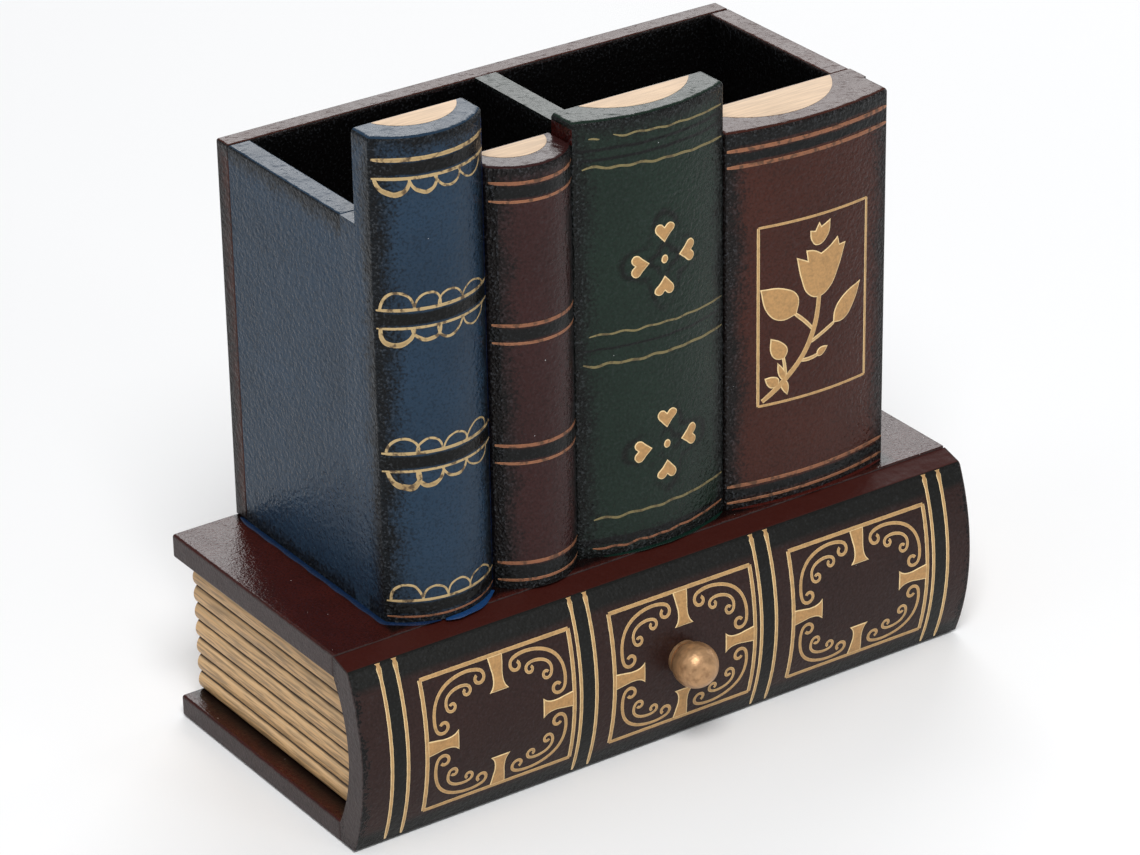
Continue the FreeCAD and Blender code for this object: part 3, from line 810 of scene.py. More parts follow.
def slice_up(piece: bpy.types.Object, along: Vector, step: float) -> None:
    """Cuts a flat piece into slices, so that it can follow a bow, and closes its skin.

    Args:
        piece: the piece.
        along: direction from slice to slice.
        step: width of a slice in millimetres.
    """
    places = [vertex.co.dot(along) for vertex in piece.data.vertices]
    low, high = min(places), max(places)
    only(piece)
    bpy.ops.object.mode_set(mode="EDIT")
    for n in range(1, math.ceil((high - low) / (step * MM))):
        bpy.ops.mesh.select_all(action="SELECT")
        bpy.ops.mesh.bisect(plane_co=along * (low + n * step * MM), plane_no=along)
    bpy.ops.mesh.select_all(action="SELECT")
    bpy.ops.mesh.remove_doubles(threshold=0.001 * MM)
    bpy.ops.mesh.dissolve_degenerate(threshold=0.0001 * MM)
    bpy.ops.mesh.select_all(action="SELECT")
    bpy.ops.mesh.normals_make_consistent(inside=False)
    bpy.ops.object.mode_set(mode="OBJECT")


def face_at(node: str, x: float, z: float) -> float:
    """Y of the front of a node at a place, all in millimetres."""
    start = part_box(node)[0].y - AHEAD
    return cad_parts[node].ray_cast(Vector((x * MM, start, z * MM)), BACKWARD)[1].y / MM


def lay_on(piece: bpy.types.Object, node: str) -> None:
    """Moves a flat piece back on to the front of a node, point by point, keeping its height.

    Each point also keeps that height, from 0 to 1, as its film.

    Args:
        piece: the piece, drawn in the plane Y = 0.
        node: the node that it lies on.
    """
    margin = 0.05 * MM
    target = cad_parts[node]
    low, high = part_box(node)
    bpy.context.view_layer.update()
    film = piece.data.attributes.new("film", "FLOAT", "POINT")
    tallest = max(-vertex.co.y for vertex in piece.data.vertices)
    for n, vertex in enumerate(piece.data.vertices):
        height = -vertex.co.y
        film.data[n].value = max(height / tallest, 0.0)
        x = min(max(vertex.co.x, low.x + margin), high.x - margin)
        z = min(max(vertex.co.z, low.z + margin), high.z - margin)
        hit, place, normal, _ = target.ray_cast(Vector((x, low.y - AHEAD, z)), BACKWARD)
        if hit:
            vertex.co = place + normal * height


def join(name: str, pieces: list[bpy.types.Object]) -> bpy.types.Object:
    """Joins pieces into one with this name."""
    only(*pieces)
    if len(pieces) > 1:
        bpy.ops.object.join()
    joined = bpy.context.view_layer.objects.active
    joined.name = name
    return joined


def finish(piece: bpy.types.Object, body: str, paint: bpy.types.Material) -> None:
    """Smooths a piece, paints it, and fixes it to its body.

    Args:
        piece: the piece.
        body: the body that it moves with.
        paint: its paint.
    """
    only(piece)
    bpy.ops.object.shade_smooth_by_angle(angle=math.radians(40))
    piece.data.materials.clear()
    piece.data.materials.append(paint)
    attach(piece, body)
    LOG.info("%s: %d faces on %s", piece.name, len(piece.data.polygons), body)


def repaint(node: str, paint: bpy.types.Material) -> None:
    """Gives a node of the frame its paint."""
    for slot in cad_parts[node].material_slots:
        slot.material = paint
    LOG.info("%s painted with %s", node, paint.name)


@dataclass
class Trim:
    """Strokes and filled shapes of one paint on the front of one node."""

    name: str
    node: str
    body: str
    tin: Finish
    along: Vector
    strokes: list[Stroke] = field(default_factory=list)
    shapes: list[Outline] = field(default_factory=list)
    thickness: float = 0.11
    rim: float = 0.38
    slice_width: float = 1.6

    def build(self, palette: Palette) -> None:
        """Draws the trim flat, lays it on its face and paints it."""
        pieces = []
        if self.strokes:
            pieces.append(brush(self.name + "_strokes", self.strokes, self.thickness))
        if self.shapes:
            filled = inlay(self.name + "_shapes", self.shapes, self.thickness, self.rim)
            slice_up(filled, self.along, self.slice_width)
            pieces.append(filled)
        for piece in pieces:
            lay_on(piece, self.node)
        finish(join(self.name, pieces), self.body, palette[self.tin])


# --------------------------------------------------------------- sub-assemblies


@dataclass(frozen=True)
class PageTop:
    """The page-coloured top of a book, a lens with a straight back and a bowed front."""

    left: float
    right: float
    front: float
    over_board: bool = False
    sunk: float = 0.05
    thickness: float = 0.14
    tucked: float = 0.3
    rim: float = 0.06

    def build(self, name: str, height: float, paint: bpy.types.Material) -> None:
        """Cuts the lens from a disc, thickens it and paints it.

        Args:
            name: name of the piece.
            height: height of the book's top in millimetres.
            paint: its paint.
        """
        back = box_mm("front_board")[int(self.over_board)].y
        half = (self.right - self.left) / 2
        bow = back - self.front
        radius = (half * half + bow * bow) / (2 * bow)
        centre = Vector(((self.left + self.right) / 2, self.front + radius, height - self.sunk))
        bpy.ops.object.select_all(action="DESELECT")
        bpy.ops.mesh.primitive_circle_add(
            vertices=160, radius=radius * MM, fill_type="NGON", location=centre * MM)
        piece = bpy.context.view_layer.objects.active
        bpy.ops.object.transform_apply(location=True, rotation=True, scale=True)
        bpy.ops.object.mode_set(mode="EDIT")
        bpy.ops.mesh.select_all(action="SELECT")
        bpy.ops.mesh.bisect(
            plane_co=(0, (back - self.tucked) * MM, 0), plane_no=BACKWARD, clear_outer=True)
        bpy.ops.mesh.select_all(action="SELECT")
        bpy.ops.mesh.extrude_region_move(
            TRANSFORM_OT_translate={"value": (0, 0, self.thickness * MM)})
        bpy.ops.mesh.select_all(action="SELECT")
        bpy.ops.mesh.normals_make_consistent(inside=False)
        bpy.ops.object.mode_set(mode="OBJECT")
        rounding = piece.modifiers.new("rim", "BEVEL")
        rounding.width = self.rim * MM
        rounding.segments = 2
        bpy.ops.object.modifier_apply(modifier=rounding.name)
        piece.name = name
        finish(piece, CASE, paint)


@dataclass
class Spine:
    """One standing book: a block with a bowed front, its paint, its page top and its trim."""

    palette: Palette
    node: str
    lacquer: Finish
    page_top: PageTop
    bands: tuple[Point, ...] = ()

    def __post_init__(self) -> None:
        """Reads the block's place from the frame."""
        self.low, self.high = box_mm(self.node)
        self.title = self.node.removesuffix("_block")

    def layers(self) -> tuple[Layer, ...]:
        """Painted bands of the front, under the trim."""
        return tuple(band(low, high) for low, high in self.bands)

    def trims(self) -> list[Trim]:
        """The trim of the front."""
        return []

    def trim(self, kind: str, tin: Finish, strokes: list[Stroke],
             shapes: list[Outline] | None = None) -> Trim:
        """One trim on this spine's front."""
        return Trim(f"{self.title}_{kind}", self.node, CASE, tin, ACROSS, strokes, shapes or [])

    def level(self, z: float, width: float, sag: float = 0.0) -> Stroke:
        """A line across the front.

        Args:
            z: its height in millimetres.
            width: its width.
            sag: how much lower its middle is.

        Returns:
            The stroke.
        """
        inset = 0.4
        points = line((self.low.x + inset, z), (self.high.x - inset, z))
        middle = (self.low.x + self.high.x) / 2
        half = middle - self.low.x
        return Stroke([(x, y - sag * (1 - ((x - middle) / half) ** 2)) for x, y in points], width)

    def build(self) -> None:
        """Paints the block and builds what lies on it."""
        low, high = self.low.copy(), self.high.copy()
        low.y = min(face_at(self.node, x, self.low.z + 20) for x in (low.x + 0.2, high.x - 0.2))
        high.y = box_mm("back_wall")[1].y
        repaint(self.node, self.lacquer.value.paint(self.title + "_paint", low, high, self.layers()))
        for trim in self.trims():
            trim.build(self.palette)
        self.page_top.build(self.title + "_page_top", self.high.z, self.palette[Finish.PAGE_TOP])


class Loops(Enum):
    """Which side of its line a row of loops stands on."""

    ABOVE = 1
    BELOW = -1


@dataclass
class BlueSpine(Spine):
    """The tall blue book, with rows of gold loops along its bands."""

    node: str = "blue_spine_block"
    lacquer: Finish = Finish.BLUE
    page_top: PageTop = PageTop(-70.6, -46.4, -33.6)
    bands: tuple[Point, ...] = ((173.0, 176.2), (134.2, 137.3), (95.9, 99.1), (56.0, 58.9))
    joints: tuple[float, ...] = (-74.7, -68.2, -61.9, -55.0, -47.2)
    loop_height: float = 4.1
    band_half: float = 2.4

    def layers(self) -> tuple[Layer, ...]:
        """Bands of the front, and bright blue left along its right edge."""
        edge = block_of((self.high.x - 0.7, -90, 50), (self.high.x + 1, -29, 180), (16, 40, 82))
        return super().layers() + (edge,)

    def loops(self, z: float, side: Loops, bold: float, seed: int) -> list[Stroke]:
        """A row of four hand-drawn loops on a line.

        Args:
            z: height of the line.
            side: which way the loops stand.
            bold: how much heavier the first loop is than the last.
            seed: choice of the hand's unevenness.

        Returns:
            The strokes.
        """
        hand = random.Random(seed)
        strokes = []
        for n, (left, right) in enumerate(zip(self.joints, self.joints[1:])):
            left, right = left + hand.uniform(-0.5, 0.3), right + hand.uniform(-0.3, 0.6)
            tall = self.loop_height * hand.uniform(0.82, 1.12) * (1 - 0.05 * n)
            lean = hand.uniform(-0.9, 0.9)
            flat = hand.uniform(0.75, 1.15)
            points = []
            for k in range(11):
                turn = math.pi * k / 10
                lift = math.sin(turn) ** flat + hand.uniform(-0.05, 0.05)
                x = (left + right) / 2 - (right - left) / 2 * math.cos(turn) + lean * math.sin(turn)
                points.append((x, z + side.value * (0.2 + tall * max(lift, 0.0))))
            heavy = bold * (3 - n) / 3
            strokes.append(Stroke(points, 0.55 + 0.3 * heavy, ends=0.8, swell=0.2, belly=heavy))
        return strokes

    def trims(self) -> list[Trim]:
        """Gold lines with loops: one row at the top, two double rows, one at the foot."""
        strokes = [self.level(177.0, 1.2), self.level(172.2, 0.9)]
        strokes += self.loops(172.2, Loops.BELOW, 0.9, 3)
        for z, bold, seed in ((135.8, 0.9, 11), (97.6, 1.2, 19)):
            strokes += [self.level(z + self.band_half, 0.95), self.level(z - self.band_half, 0.75)]
            strokes += self.loops(z + self.band_half, Loops.ABOVE, 0.25, seed)
            strokes += self.loops(z - self.band_half, Loops.BELOW, bold, seed + 1)
        strokes.append(self.level(59.6, 0.8))
        strokes += self.loops(59.6, Loops.ABOVE, 0.2, 29)
        return [self.trim("gold_trim", Finish.LINE_GOLD, strokes),
                self.trim("copper_trim", Finish.COPPER, [self.level(55.3, 0.6, sag=0.3)])]


@dataclass
class MaroonSpine(Spine):
    """The narrow maroon book, with pairs of copper lines."""

    node: str = "maroon_spine_block"
    lacquer: Finish = Finish.MAROON
    page_top: PageTop = PageTop(-41.2, -21.6, -33.8)
    bands: tuple[Point, ...] = ((159.2, 162.4), (121.7, 124.9), (89.1, 92.3), (53.4, 59.8))
    pairs: tuple[float, ...] = (160.8, 123.3, 90.7, 58.2)
    gap: float = 4.8

    def trims(self) -> list[Trim]:
        """Four pairs of copper lines."""
        strokes = []
        for z in self.pairs:
            strokes += [self.level(z + self.gap / 2, 1.05), self.level(z - self.gap / 2, 0.85)]
        return [self.trim("copper_trim", Finish.COPPER, strokes)]


@dataclass
class GreenSpine(Spine):
    """The wide green book, with wavering gold lines and two motifs of four hearts."""

    node: str = "green_spine_block"
    lacquer: Finish = Finish.GREEN
    page_top: PageTop = PageTop(-11.6, 21.8, -34.4)
    bands: tuple[Point, ...] = ((164.2, 165.0), (161.6, 162.4), (110.8, 111.4), (56.5, 58.5))
    motifs: tuple[Point, ...] = ((4.7, 131.9), (5.1, 80.9))
    heart_gap: float = 4.5
    heart_length: float = 5.0
    heart_width: float = 6.0
    dot: Point = (1.0, 1.15)

    def layers(self) -> tuple[Layer, ...]:
        """Faint bands between the gold lines, dark lines round the motifs, red on the left edge."""
        rings = tuple(ring(middle, 9.6, 2.8) for middle in self.motifs)
        halos = tuple(ring(middle, 3.6, 0.8) for middle in self.motifs)
        seam = block_of((-60, -90, 166.5), (self.low.x + 0.3, 90, 170.6), (52, 15, 12))
        return super().layers() + rings + halos + (seam,)

    def waver(self, z: float, fall: float, width: float, start: float) -> Stroke:
        """A thin line that wavers at its left end and steadies to the right.

        Args:
            z: height of its left end.
            fall: how much lower its right end is.
            width: width of the line.
            start: distance of its left end from the block's edge.

        Returns:
            The stroke.
        """
        points = []
        for x, _ in line((self.low.x + start, z), (self.high.x - 1.0, z)):
            share = (x - self.low.x) / (self.high.x - self.low.x)
            swing = (1 - share) * (0.42 * math.sin(x + z) + 0.24 * math.sin(x * 0.57 + z * 3))
            points.append((x, z - fall * share + swing))
        return Stroke(points, width, ends=0.4)

    def heart(self, middle: Point, turn: float, lean: float) -> Outline:
        """A heart whose point faces the middle of its motif.

        Args:
            middle: the motif's middle.
            turn: direction of the heart from it, in degrees.
            lean: how much larger its left lobe is than its right.

        Returns:
            The outline.
        """
        shape = ((0, 0, True), (0.5, 0.36), (1 - lean, 0.74), (0.74, 0.98), (0.36, 1.0),
                 (0, 0.82, True), (-0.4, 1.02), (-0.8, 0.98), (-1 - lean, 0.72), (-0.52, 0.34))
        angle = math.radians(turn - 90)
        outline = []
        for across, out, *sharp in shape:
            aside = across * self.heart_width / 2
            away = out * self.heart_length + self.heart_gap
            outline.append(Corner(middle[0] + aside * math.cos(angle) - away * math.sin(angle),
                                  middle[1] + aside * math.sin(angle) + away * math.cos(angle),
                                  bool(sharp)))
        return outline

    def trims(self) -> list[Trim]:
        """Six wavering lines, a short dash, and the two motifs."""
        lines = [self.waver(168.2, 1.8, 0.6, 10.0), self.waver(160.2, 2.4, 0.75, 2.4),
                 self.waver(115.3, 0.9, 0.6, 3.4), self.waver(107.0, 0.6, 0.8, 2.0),
                 self.waver(64.0, -0.8, 0.75, 4.0)]
        dash = Stroke([(-15.2, 167.6), (-14.2, 167.8), (-13.4, 167.4), (-12.6, 167.3)], 0.6)
        hearts = []
        for middle in self.motifs:
            hearts += [self.heart(middle, 90 * n, 0.05 * (-1) ** n) for n in range(4)]
            hearts.append(shape_of(*arc(middle, self.dot, 0, 315, 8)))
        return [self.trim("gold_lines", Finish.DULL_GOLD, [*lines, dash]),
                self.trim("copper_line", Finish.COPPER, [self.waver(55.4, -1.6, 0.7, 3.6)]),
                self.trim("gold_hearts", Finish.LEAF_GOLD, [], hearts)]


def leaf(base: Point, tip: Point, width: float) -> Outline:
    """A pointed leaf.

    Args:
        base: where it grows from, in millimetres.
        tip: its point.
        width: its largest width.

    Returns:
        The outline.
    """
    start = Vector(base)
    along = Vector(tip) - start
    side = along.orthogonal().normalized() * width / 2
    shape = ((0, 0, True), (0.22, 0.9), (0.55, 1), (1, 0, True), (0.6, -0.9), (0.2, -1))
    return [Corner(*(start + along * far + side * out), bool(sharp)) for far, out, *sharp in shape]


@dataclass
class BrownSpine(Spine):
    """The wide brown book, with copper lines and a framed tulip in gold."""

    node: str = "brown_spine_block"
    lacquer: Finish = Finish.BROWN
    page_top: PageTop = PageTop(28.6, 70.6, -33.0, over_board=True)
    bands: tuple[Point, ...] = ((149.9, 152.3), (154.4, 157.2), (56.4, 58.8))
    left: float = 35.1
    right: float = 69.3
    foot: float = 81.4
    head: float = 131.1
    skew: float = 0.5

    def stems(self) -> list[Stroke]:
        """The stem from the foot of the frame to the bloom, and its twigs."""
        stem = Stroke([(36.2, 82.6), (39.5, 84.6), (43.8, 88.2), (48.1, 92.4), (51.0, 97.5),
                       (52.8, 103.0), (53.2, 109.0)], 1.7, ends=0.9)
        twigs = (((51.6, 99.0), (49.0, 102.4), (45.6, 105.2), 1.2),
                 ((50.6, 96.0), (54.2, 97.4), (58.2, 99.4), 1.2),
                 ((47.6, 91.6), (50.4, 91.0), (53.4, 92.0), 1.2),
                 ((42.9, 87.4), (43.0, 90.6), (42.2, 94.0), 1.1))
        return [stem] + [Stroke([base, base, middle, tip, tip], width)
                         for base, middle, tip, width in twigs]

    def trims(self) -> list[Trim]:
        """Copper pairs at head and foot, the gold frame, and the flower inside it."""
        copper = [self.level(z, width) for z, width in (
            (153.2, 1.2), (148.8, 1.15), (59.9, 1.1), (55.3, 0.9))]
        sides = sides_of(((self.left, self.foot), (self.left, self.head),
                          (self.right, self.head - self.skew), (self.right, self.foot - self.skew)),
                         0.8, 0.9)
        bloom = shape_of(
            (52.9, 108.0), (49.6, 109.6), (47.6, 114.0), (46.1, 120.6, True), (49.5, 118.9, True),
            (49.0, 121.9, True), (51.6, 121.3), (53.8, 120.0, True), (56.4, 121.2),
            (59.2, 123.2, True), (59.8, 120.8, True), (61.9, 120.9, True), (59.4, 114.2),
            (56.6, 109.6))
        bud = shape_of(
            (52.6, 122.4), (50.6, 124.2), (50.2, 127.0, True), (51.8, 126.6, True),
            (53.1, 128.8, True), (53.8, 127.4, True), (56.7, 128.7, True), (56.0, 124.6))
        low_leaf = leaf((41.0, 86.2), (36.9, 88.9), 3.0)
        leaves = [leaf(*sizes) for sizes in (
            ((46.2, 104.9), (35.6, 114.0), 8.0), ((57.9, 99.2), (67.4, 108.4), 5.0),
            ((52.4, 91.8), (56.2, 93.4), 2.2), ((42.6, 93.2), (38.6, 99.8), 4.2),
            ((42.8, 87.0), (40.6, 92.6), 1.9), ((42.2, 87.6), (43.6, 82.8), 2.1))]
        return [self.trim("copper_trim", Finish.COPPER, copper),
                self.trim("gold_frame", Finish.GOLD, sides),
                self.trim("gold_stems", Finish.GOLD, self.stems()),
                self.trim("gold_flower", Finish.LEAF_GOLD, [], [bloom, bud, low_leaf]),
                self.trim("gold_leaves", Finish.LEAF_GOLD, [], leaves)]


@dataclass
class BrushBox:
    """The two-well box that the spine blocks stand against."""

    rim: float = 1.0
    lap: float = 0.2

    def build(self) -> None:
        """Paints each board: colour outside and on its rim, black inside the wells."""
        left, right = box_mm("left_wall"), box_mm("right_wall")
        back, board = box_mm("back_wall"), box_mm("front_board")
        corner, lap = box_mm("blue_spine_block")[0], self.lap
        well = block_of((left[1].x - lap, board[1].y - lap, 50),
                        (right[0].x + lap, back[0].y + lap, left[1].z - self.rim), INK)
        low = Vector((left[0].x, face_at("blue_spine_block", corner.x + 0.2, 80), left[0].z))
        high = Vector((right[1].x, back[1].y, left[1].z))
        middle = block_of((left[1].x, -90, 50), (box_mm("green_spine_block")[1].x, 90, FAR), INK)
        blue_end = block_of((-FAR, -90, 50), (left[1].x, 90, FAR), Finish.BLUE.value.colour)
        for node, lacquer, name, layers in (
                ("left_wall", Finish.BLUE, "blue_wall_paint", (well,)),
                ("right_wall", Finish.BROWN, "brown_wall_paint", (well,)),
                ("back_wall", Finish.BROWN, "brown_back_paint", (well,)),
                ("divider", Finish.GREEN, "green_divider_paint", (well,)),
                ("front_board", Finish.BROWN, "front_board_paint", (middle, blue_end, well))):
            repaint(node, lacquer.value.paint(name, low, high, layers))
        repaint("well_floor", Finish.BLACK.value.paint("well_floor_paint"))


@dataclass
class LyingBook:
    """The book that lies flat: two covers and the page blocks between them."""

    streak: float = 0.05
    page_spray: float = 5.0
    box_spray: float = 2.6

    def build(self) -> None:
        """Paints the covers, the page blocks and the brads."""
        for node in ("bottom_cover", "top_cover"):
            top = box_mm(node)[1].z
            repaint(node, Finish.COVER.value.paint(node + "_paint", top, self.airbrush(node)))
        for node, grain in (("left_page_block", (1, self.streak, 1)),
                            ("right_page_block", (1, self.streak, 1)),
                            ("back_page_block", (self.streak, 1, 1))):
            low, high = box_mm(node)
            repaint(node, Finish.PAGES.value.paint(node + "_paint", low.z, high.z, grain))
        brads = Finish.BRADS.value.paint("brad_wire")
        for node in ("cover_brads", "box_brads", "drawer_brads"):
            repaint(node, brads)

    def airbrush(self, node: str) -> Layer:
        """Black sprayed round what stands on a cover: the pages below, the box above.

        Args:
            node: the cover.

        Returns:
            The layer.
        """
        if node == "bottom_cover":
            low, high = box_mm("left_page_block")[0], box_mm("right_page_block")[1]
            reach = self.page_spray
        else:
            low, high = box_mm("blue_spine_block")[0], box_mm("right_wall")[1]
            low.y = face_at("brown_spine_block", 70, 80)
            reach = self.box_spray

        def lay(graph: Graph) -> tuple[Signal, Colour]:
            """Mask and colour of the spray."""
            across = (low.x - graph.x).call("MAXIMUM", graph.x - high.x)
            away = across.call("MAXIMUM", low.y - graph.y)
            return (away + graph.waver(6.0, 2.5, 3.0)).fade(reach, 0.2) * 0.9, INK
        return lay


@dataclass(frozen=True)
class Scroll:
    """A C-scroll in the corner of a panel, measured in from that corner, in millimetres."""

    head: Point
    head_radius: float
    belly: tuple[Point, ...]
    foot: Point
    foot_radius: float
    width: float
    sweep: float = 330.0

    def path(self) -> list[Point]:
        """Points from the curl at its head, round its belly, to the curl at its foot."""
        head = curl(self.head, self.head_radius, -90, self.sweep)
        return [*head[::-1], *self.belly, *curl(self.foot, self.foot_radius, 180, -self.sweep)]


@dataclass
class Drawer:
    """The drawer: its bowed front with three gold panels, its knob, and its black tray."""

    palette: Palette
    middle: float = 2.35
    panel_pitch: float = 56.35
    panel: Point = (44.0, 37.3)
    panel_foot: float = 6.6
    rule_shift: float = -1.7
    rule_gap: float = 4.7
    tab_length: float = 9.2
    tint: Colour = (20, 20, 18)
    end_grain: Colour = (60, 50, 49)
    scrolls: tuple[Scroll, ...] = (
        Scroll((16.4, 4.3), 2.2, ((13.2, 1.5), (8.4, 2.3), (4.9, 4.4), (3.0, 7.4), (2.4, 10.8)),
               (4.9, 13.7), 2.3, 1.0),
        Scroll((12.5, 6.5), 1.6, ((10.6, 4.7), (7.8, 5.4), (6.2, 7.2)), (7.9, 9.2), 1.6, 0.9))

    def __post_init__(self) -> None:
        """Works out where the panels and the pairs of upright lines stand along X."""
        self.panels = [self.middle + n * self.panel_pitch for n in (-1, 0, 1)]
        self.pairs = [self.middle + self.rule_shift + n * self.panel_pitch
                      for n in (-1.5, -0.5, 0.5, 1.5)]

    def frames(self) -> list[Stroke]:
        """The rectangle round each panel."""
        wide, tall = self.panel
        low, high = self.panel_foot, self.panel_foot + tall
        strokes = []
        for x in self.panels:
            left = x - wide / 2
            right = left + wide
            strokes += sides_of(((left, low), (left, high), (right, high), (right, low)), 1.15, 1.0)
        return strokes

    def rules(self) -> list[Stroke]:
        """The upright double lines, each ending in a drop of paint on the top edge."""
        low, high = box_mm("drawer_front")
        places = [x + side * self.rule_gap for x in self.pairs for side in (-0.5, 0.5)]
        return [Stroke(line((x, low.z + 0.6), (x, high.z - 1.9)), 1.0, bead=1.55) for x in places]

    def tabs(self) -> list[Outline]:
        """The flared tab at the middle of each side of each panel."""
        wide, tall = self.panel
        z = self.panel_foot + tall / 2
        half = ((0.0, 2.25), (0.3, 1.85), (0.6, 1.5), (0.85, 1.9), (1.0, 2.9))
        edges = [(share, out) for share, out in half] + [(share, -out) for share, out in half[::-1]]
        shapes = []
        for x in self.panels:
            for (right, up), reach in (((1, 0), wide), ((-1, 0), wide), ((0, 1), tall), ((0, -1), tall)):
                outline = []
                for share, out in edges:
                    far = reach / 2 - 0.2 - share * self.tab_length
                    outline.append(Corner(x + right * far - up * out, z + up * far + right * out,
                                          share in (0.0, 1.0)))
                shapes.append(outline)
        return shapes

    def corner_scrolls(self) -> list[Stroke]:
        """The scrolls of all the panels, mirrored into their four corners."""
        wide, tall = self.panel
        middle = self.panel_foot + tall / 2
        corners = [(x + across * wide / 2, middle + up * tall / 2, across, up)
                   for x in self.panels for across in (-1, 1) for up in (-1, 1)]
        return [Stroke([(x0 - across * x, z0 - up * z) for x, z in scroll.path()], scroll.width, 0.9)
                for x0, z0, across, up in corners for scroll in self.scrolls]

    def paint_front(self) -> None:
        """Paints the bowed front: brown, with green-black along its edges and between the lines."""
        low, high = box_mm("drawer_front")
        layers = [band(high.z - 7.0, high.z + 9, self.tint, 1.2),
                  band(-9, low.z + 4.4, self.tint, 1.2)]
        layers += [stripe(x, 2.2, self.tint, 0.4) for x in self.pairs]
        layers += [block_of((-FAR, low.y + 5.6, high.z - 1.9), (FAR, 90, high.z + 1), DARK_RED),
                   block_of((-FAR, -90, -1), (low.x + 0.35, 90, 90), self.end_grain),
                   block_of((high.x - 0.35, -90, -1), (FAR, 90, 90), self.end_grain)]
        low.y = -FAR
        lacquer = Finish.DRAWER_FRONT.value
        repaint("drawer_front", lacquer.paint("drawer_front_paint", low, high, tuple(layers)))

    def build(self) -> None:
        """Paints the drawer's pieces and lays the gold on its front."""
        self.paint_front()
        black = Finish.BLACK.value.paint("drawer_tray_paint")
        for node in ("drawer_left_side", "drawer_right_side", "drawer_back", "drawer_bottom"):
            repaint(node, black)
        repaint("drawer_knob", Finish.KNOB.value.paint("knob_gold"))
        repaint("knob_screw", Finish.SCREW.value.paint("screw_zinc"))
        for kind, tin, strokes, shapes in (
                ("frames", Finish.GOLD, self.frames(), []),
                ("rules", Finish.GOLD, self.rules(), []),
                ("scrolls", Finish.GOLD, self.corner_scrolls(), []),
                ("tabs", Finish.LEAF_GOLD, [], self.tabs())):
            trim = Trim("drawer_gold_" + kind, "drawer_front", DRAWER, tin, UP, strokes, shapes)
            trim.build(self.palette)


@dataclass
class PaintRun:
    """Paint that ran down the box and set in a bead on the cover at its foot."""

    name: str
    slot: str
    colour: Colour
    foot: list[Point]
    width: float
    thickness: float = 0.13

    def build(self) -> None:
        """Draws the bead along the foot and lays it on the cover."""
        bead = Stroke(self.foot, self.width, ends=0.3, swell=0.28)
        piece = brush(self.name, [bead], self.thickness)
        piece.data.transform(Matrix.Rotation(-math.pi / 2, 4, "X"))
        piece.data.transform(Matrix.Translation((0, 0, box_mm("top_cover")[1].z * MM)))
        finish(piece, CASE, PlainPaint(self.colour, 0.25).paint(self.name + "_paint"))


def front_foot(node: str, start: float, end: float, out: float) -> list[Point]:
    """The line of a spine's foot, seen from above.

    Args:
        node: the spine's block.
        start: its left end along X in millimetres.
        end: its right end.
        out: how far the line stands out from the block.

    Returns:
        The points, each an X and a Y.
    """
    height = box_mm(node)[0].z + 3
    count = round((end - start) / 3)
    places = [start + (end - start) * n / count for n in range(count + 1)]
    return [(x, face_at(node, x, height) - out) for x in places]


def paint_runs() -> list[PaintRun]:
    """The runs at the foot of the blue wall and of three of the spines."""
    wall = box_mm("left_wall")[0].x
    wall_foot = [(wall - 0.1, 36.0 - 4.0 * n) for n in range(18)]
    corner_foot = front_foot("blue_spine_block", wall + 0.3, -64.0, 0.0)
    return [
        PaintRun("blue_wall_paint_run", "blue_lacquer", (12, 34, 64), wall_foot + corner_foot, 2.5),
        PaintRun("blue_spine_paint_run", "blue_lacquer", (24, 62, 108),
                 front_foot("blue_spine_block", -63.0, -45.4, 0.5), 2.7),
        PaintRun("green_paint_run", "green_lacquer", (14, 38, 30),
                 front_foot("green_spine_block", -13.0, 25.6, 0.1), 1.8),
        PaintRun("brown_paint_run", "brown_lacquer", (66, 20, 14),
                 front_foot("brown_spine_block", 28.0, 76.4, 0.1), 1.8)]


@dataclass(frozen=True)
class Softbox:
    """A square light that faces the object; its place and size are in metres."""

    name: str
    place: Point3
    size: Point
    watts: float

    def hang(self) -> None:
        """Adds the light."""
        bpy.ops.object.light_add(type="AREA", location=self.place)
        light = bpy.context.view_layer.objects.active
        light.name = self.name
        light.data.shape = "RECTANGLE"
        light.data.size, light.data.size_y = self.size
        light.data.energy = self.watts
        towards = Vector((0, 0, 0.09)) - Vector(self.place)
        light.rotation_euler = towards.to_track_quat("-Z", "Y").to_euler()


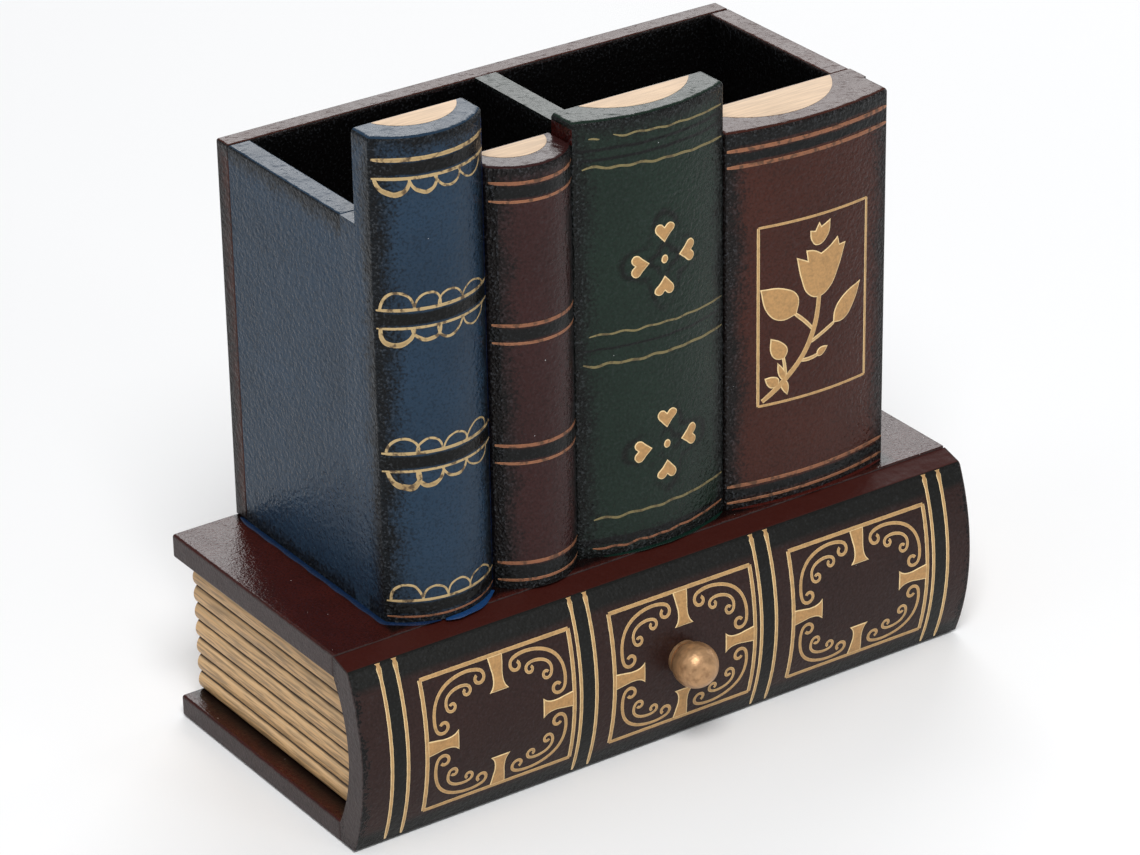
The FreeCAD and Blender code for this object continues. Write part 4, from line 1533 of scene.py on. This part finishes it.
@dataclass
class Studio:
    """Pale floor, soft light and the camera; places are in metres."""

    place: Point3 = (-0.5907, -0.8740, 0.6011)
    aim: Point3 = (0.0013, -0.0013, 0.0712)
    roll: float = -0.99
    lens: float = 144.67
    sky: tuple[float, float, float, float] = (0.95, 0.97, 1.0, 1.0)
    sky_strength: float = 0.38
    floor: Colour = (248, 248, 248)
    softboxes: tuple[Softbox, ...] = (
        Softbox("key", (-0.5, -0.85, 1.35), (0.6, 0.6), 18.0),
        Softbox("back", (0.95, 1.3, 0.95), (1.3, 0.7), 12.0),
        Softbox("left", (-1.5, 0.3, 0.9), (0.8, 0.8), 2.0),
        Softbox("right", (1.25, 0.1, 0.4), (0.35, 0.5), 1.6),
        Softbox("front", (0.4, -1.3, 0.42), (0.25, 0.25), 1.4))

    def build(self) -> None:
        """Builds the floor, the lights and the camera."""
        self.build_floor()
        self.build_sky()
        for softbox in self.softboxes:
            softbox.hang()
        self.build_camera()
        bpy.context.scene.view_settings.view_transform = "Standard"

    def build_floor(self) -> None:
        """A wide pale floor, a hair under the object."""
        bpy.ops.object.select_all(action="DESELECT")
        bpy.ops.mesh.primitive_plane_add(size=12, location=(0, 0, -0.2 * MM))
        floor = bpy.context.view_layer.objects.active
        floor.name = "floor"
        paint = Graph("floor_paint").surface(linear(self.floor), 0.9, specular=0.1)
        floor.data.materials.append(paint)

    def build_sky(self) -> None:
        """Soft light all round."""
        world = bpy.data.worlds.new("studio")
        world.use_nodes = True
        sky = world.node_tree.nodes["Background"].inputs
        sky["Color"].default_value = self.sky
        sky["Strength"].default_value = self.sky_strength
        bpy.context.scene.world = world

    def build_camera(self) -> None:
        """The camera, with its slight roll."""
        back = (Vector(self.place) - Vector(self.aim)).normalized()
        across = UP.cross(back).normalized()
        upward = back.cross(across)
        turn = math.radians(self.roll)
        right = across * math.cos(turn) + upward * math.sin(turn)
        top = upward * math.cos(turn) - across * math.sin(turn)
        bpy.ops.object.camera_add()
        camera = bpy.context.view_layer.objects.active
        camera.name = "camera"
        camera.data.lens = self.lens
        camera.data.sensor_width = 36
        camera.data.clip_start = 0.01
        camera.matrix_world = Matrix((right, top, back)).transposed().to_4x4()
        camera.location = self.place
        bpy.context.scene.camera = camera


def main() -> None:
    """Builds every sub-assembly in order."""
    logging.basicConfig(level=logging.INFO, format="%(name)s: %(message)s")
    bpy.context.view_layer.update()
    Studio().build()
    palette = mix_palette()
    spines = [spine(palette) for spine in (BlueSpine, MaroonSpine, GreenSpine, BrownSpine)]
    for part in [LyingBook(), BrushBox(), *spines, Drawer(palette), *paint_runs()]:
        LOG.info("building %s", type(part).__name__)
        part.build()


if __name__ == "__main__":
    main()
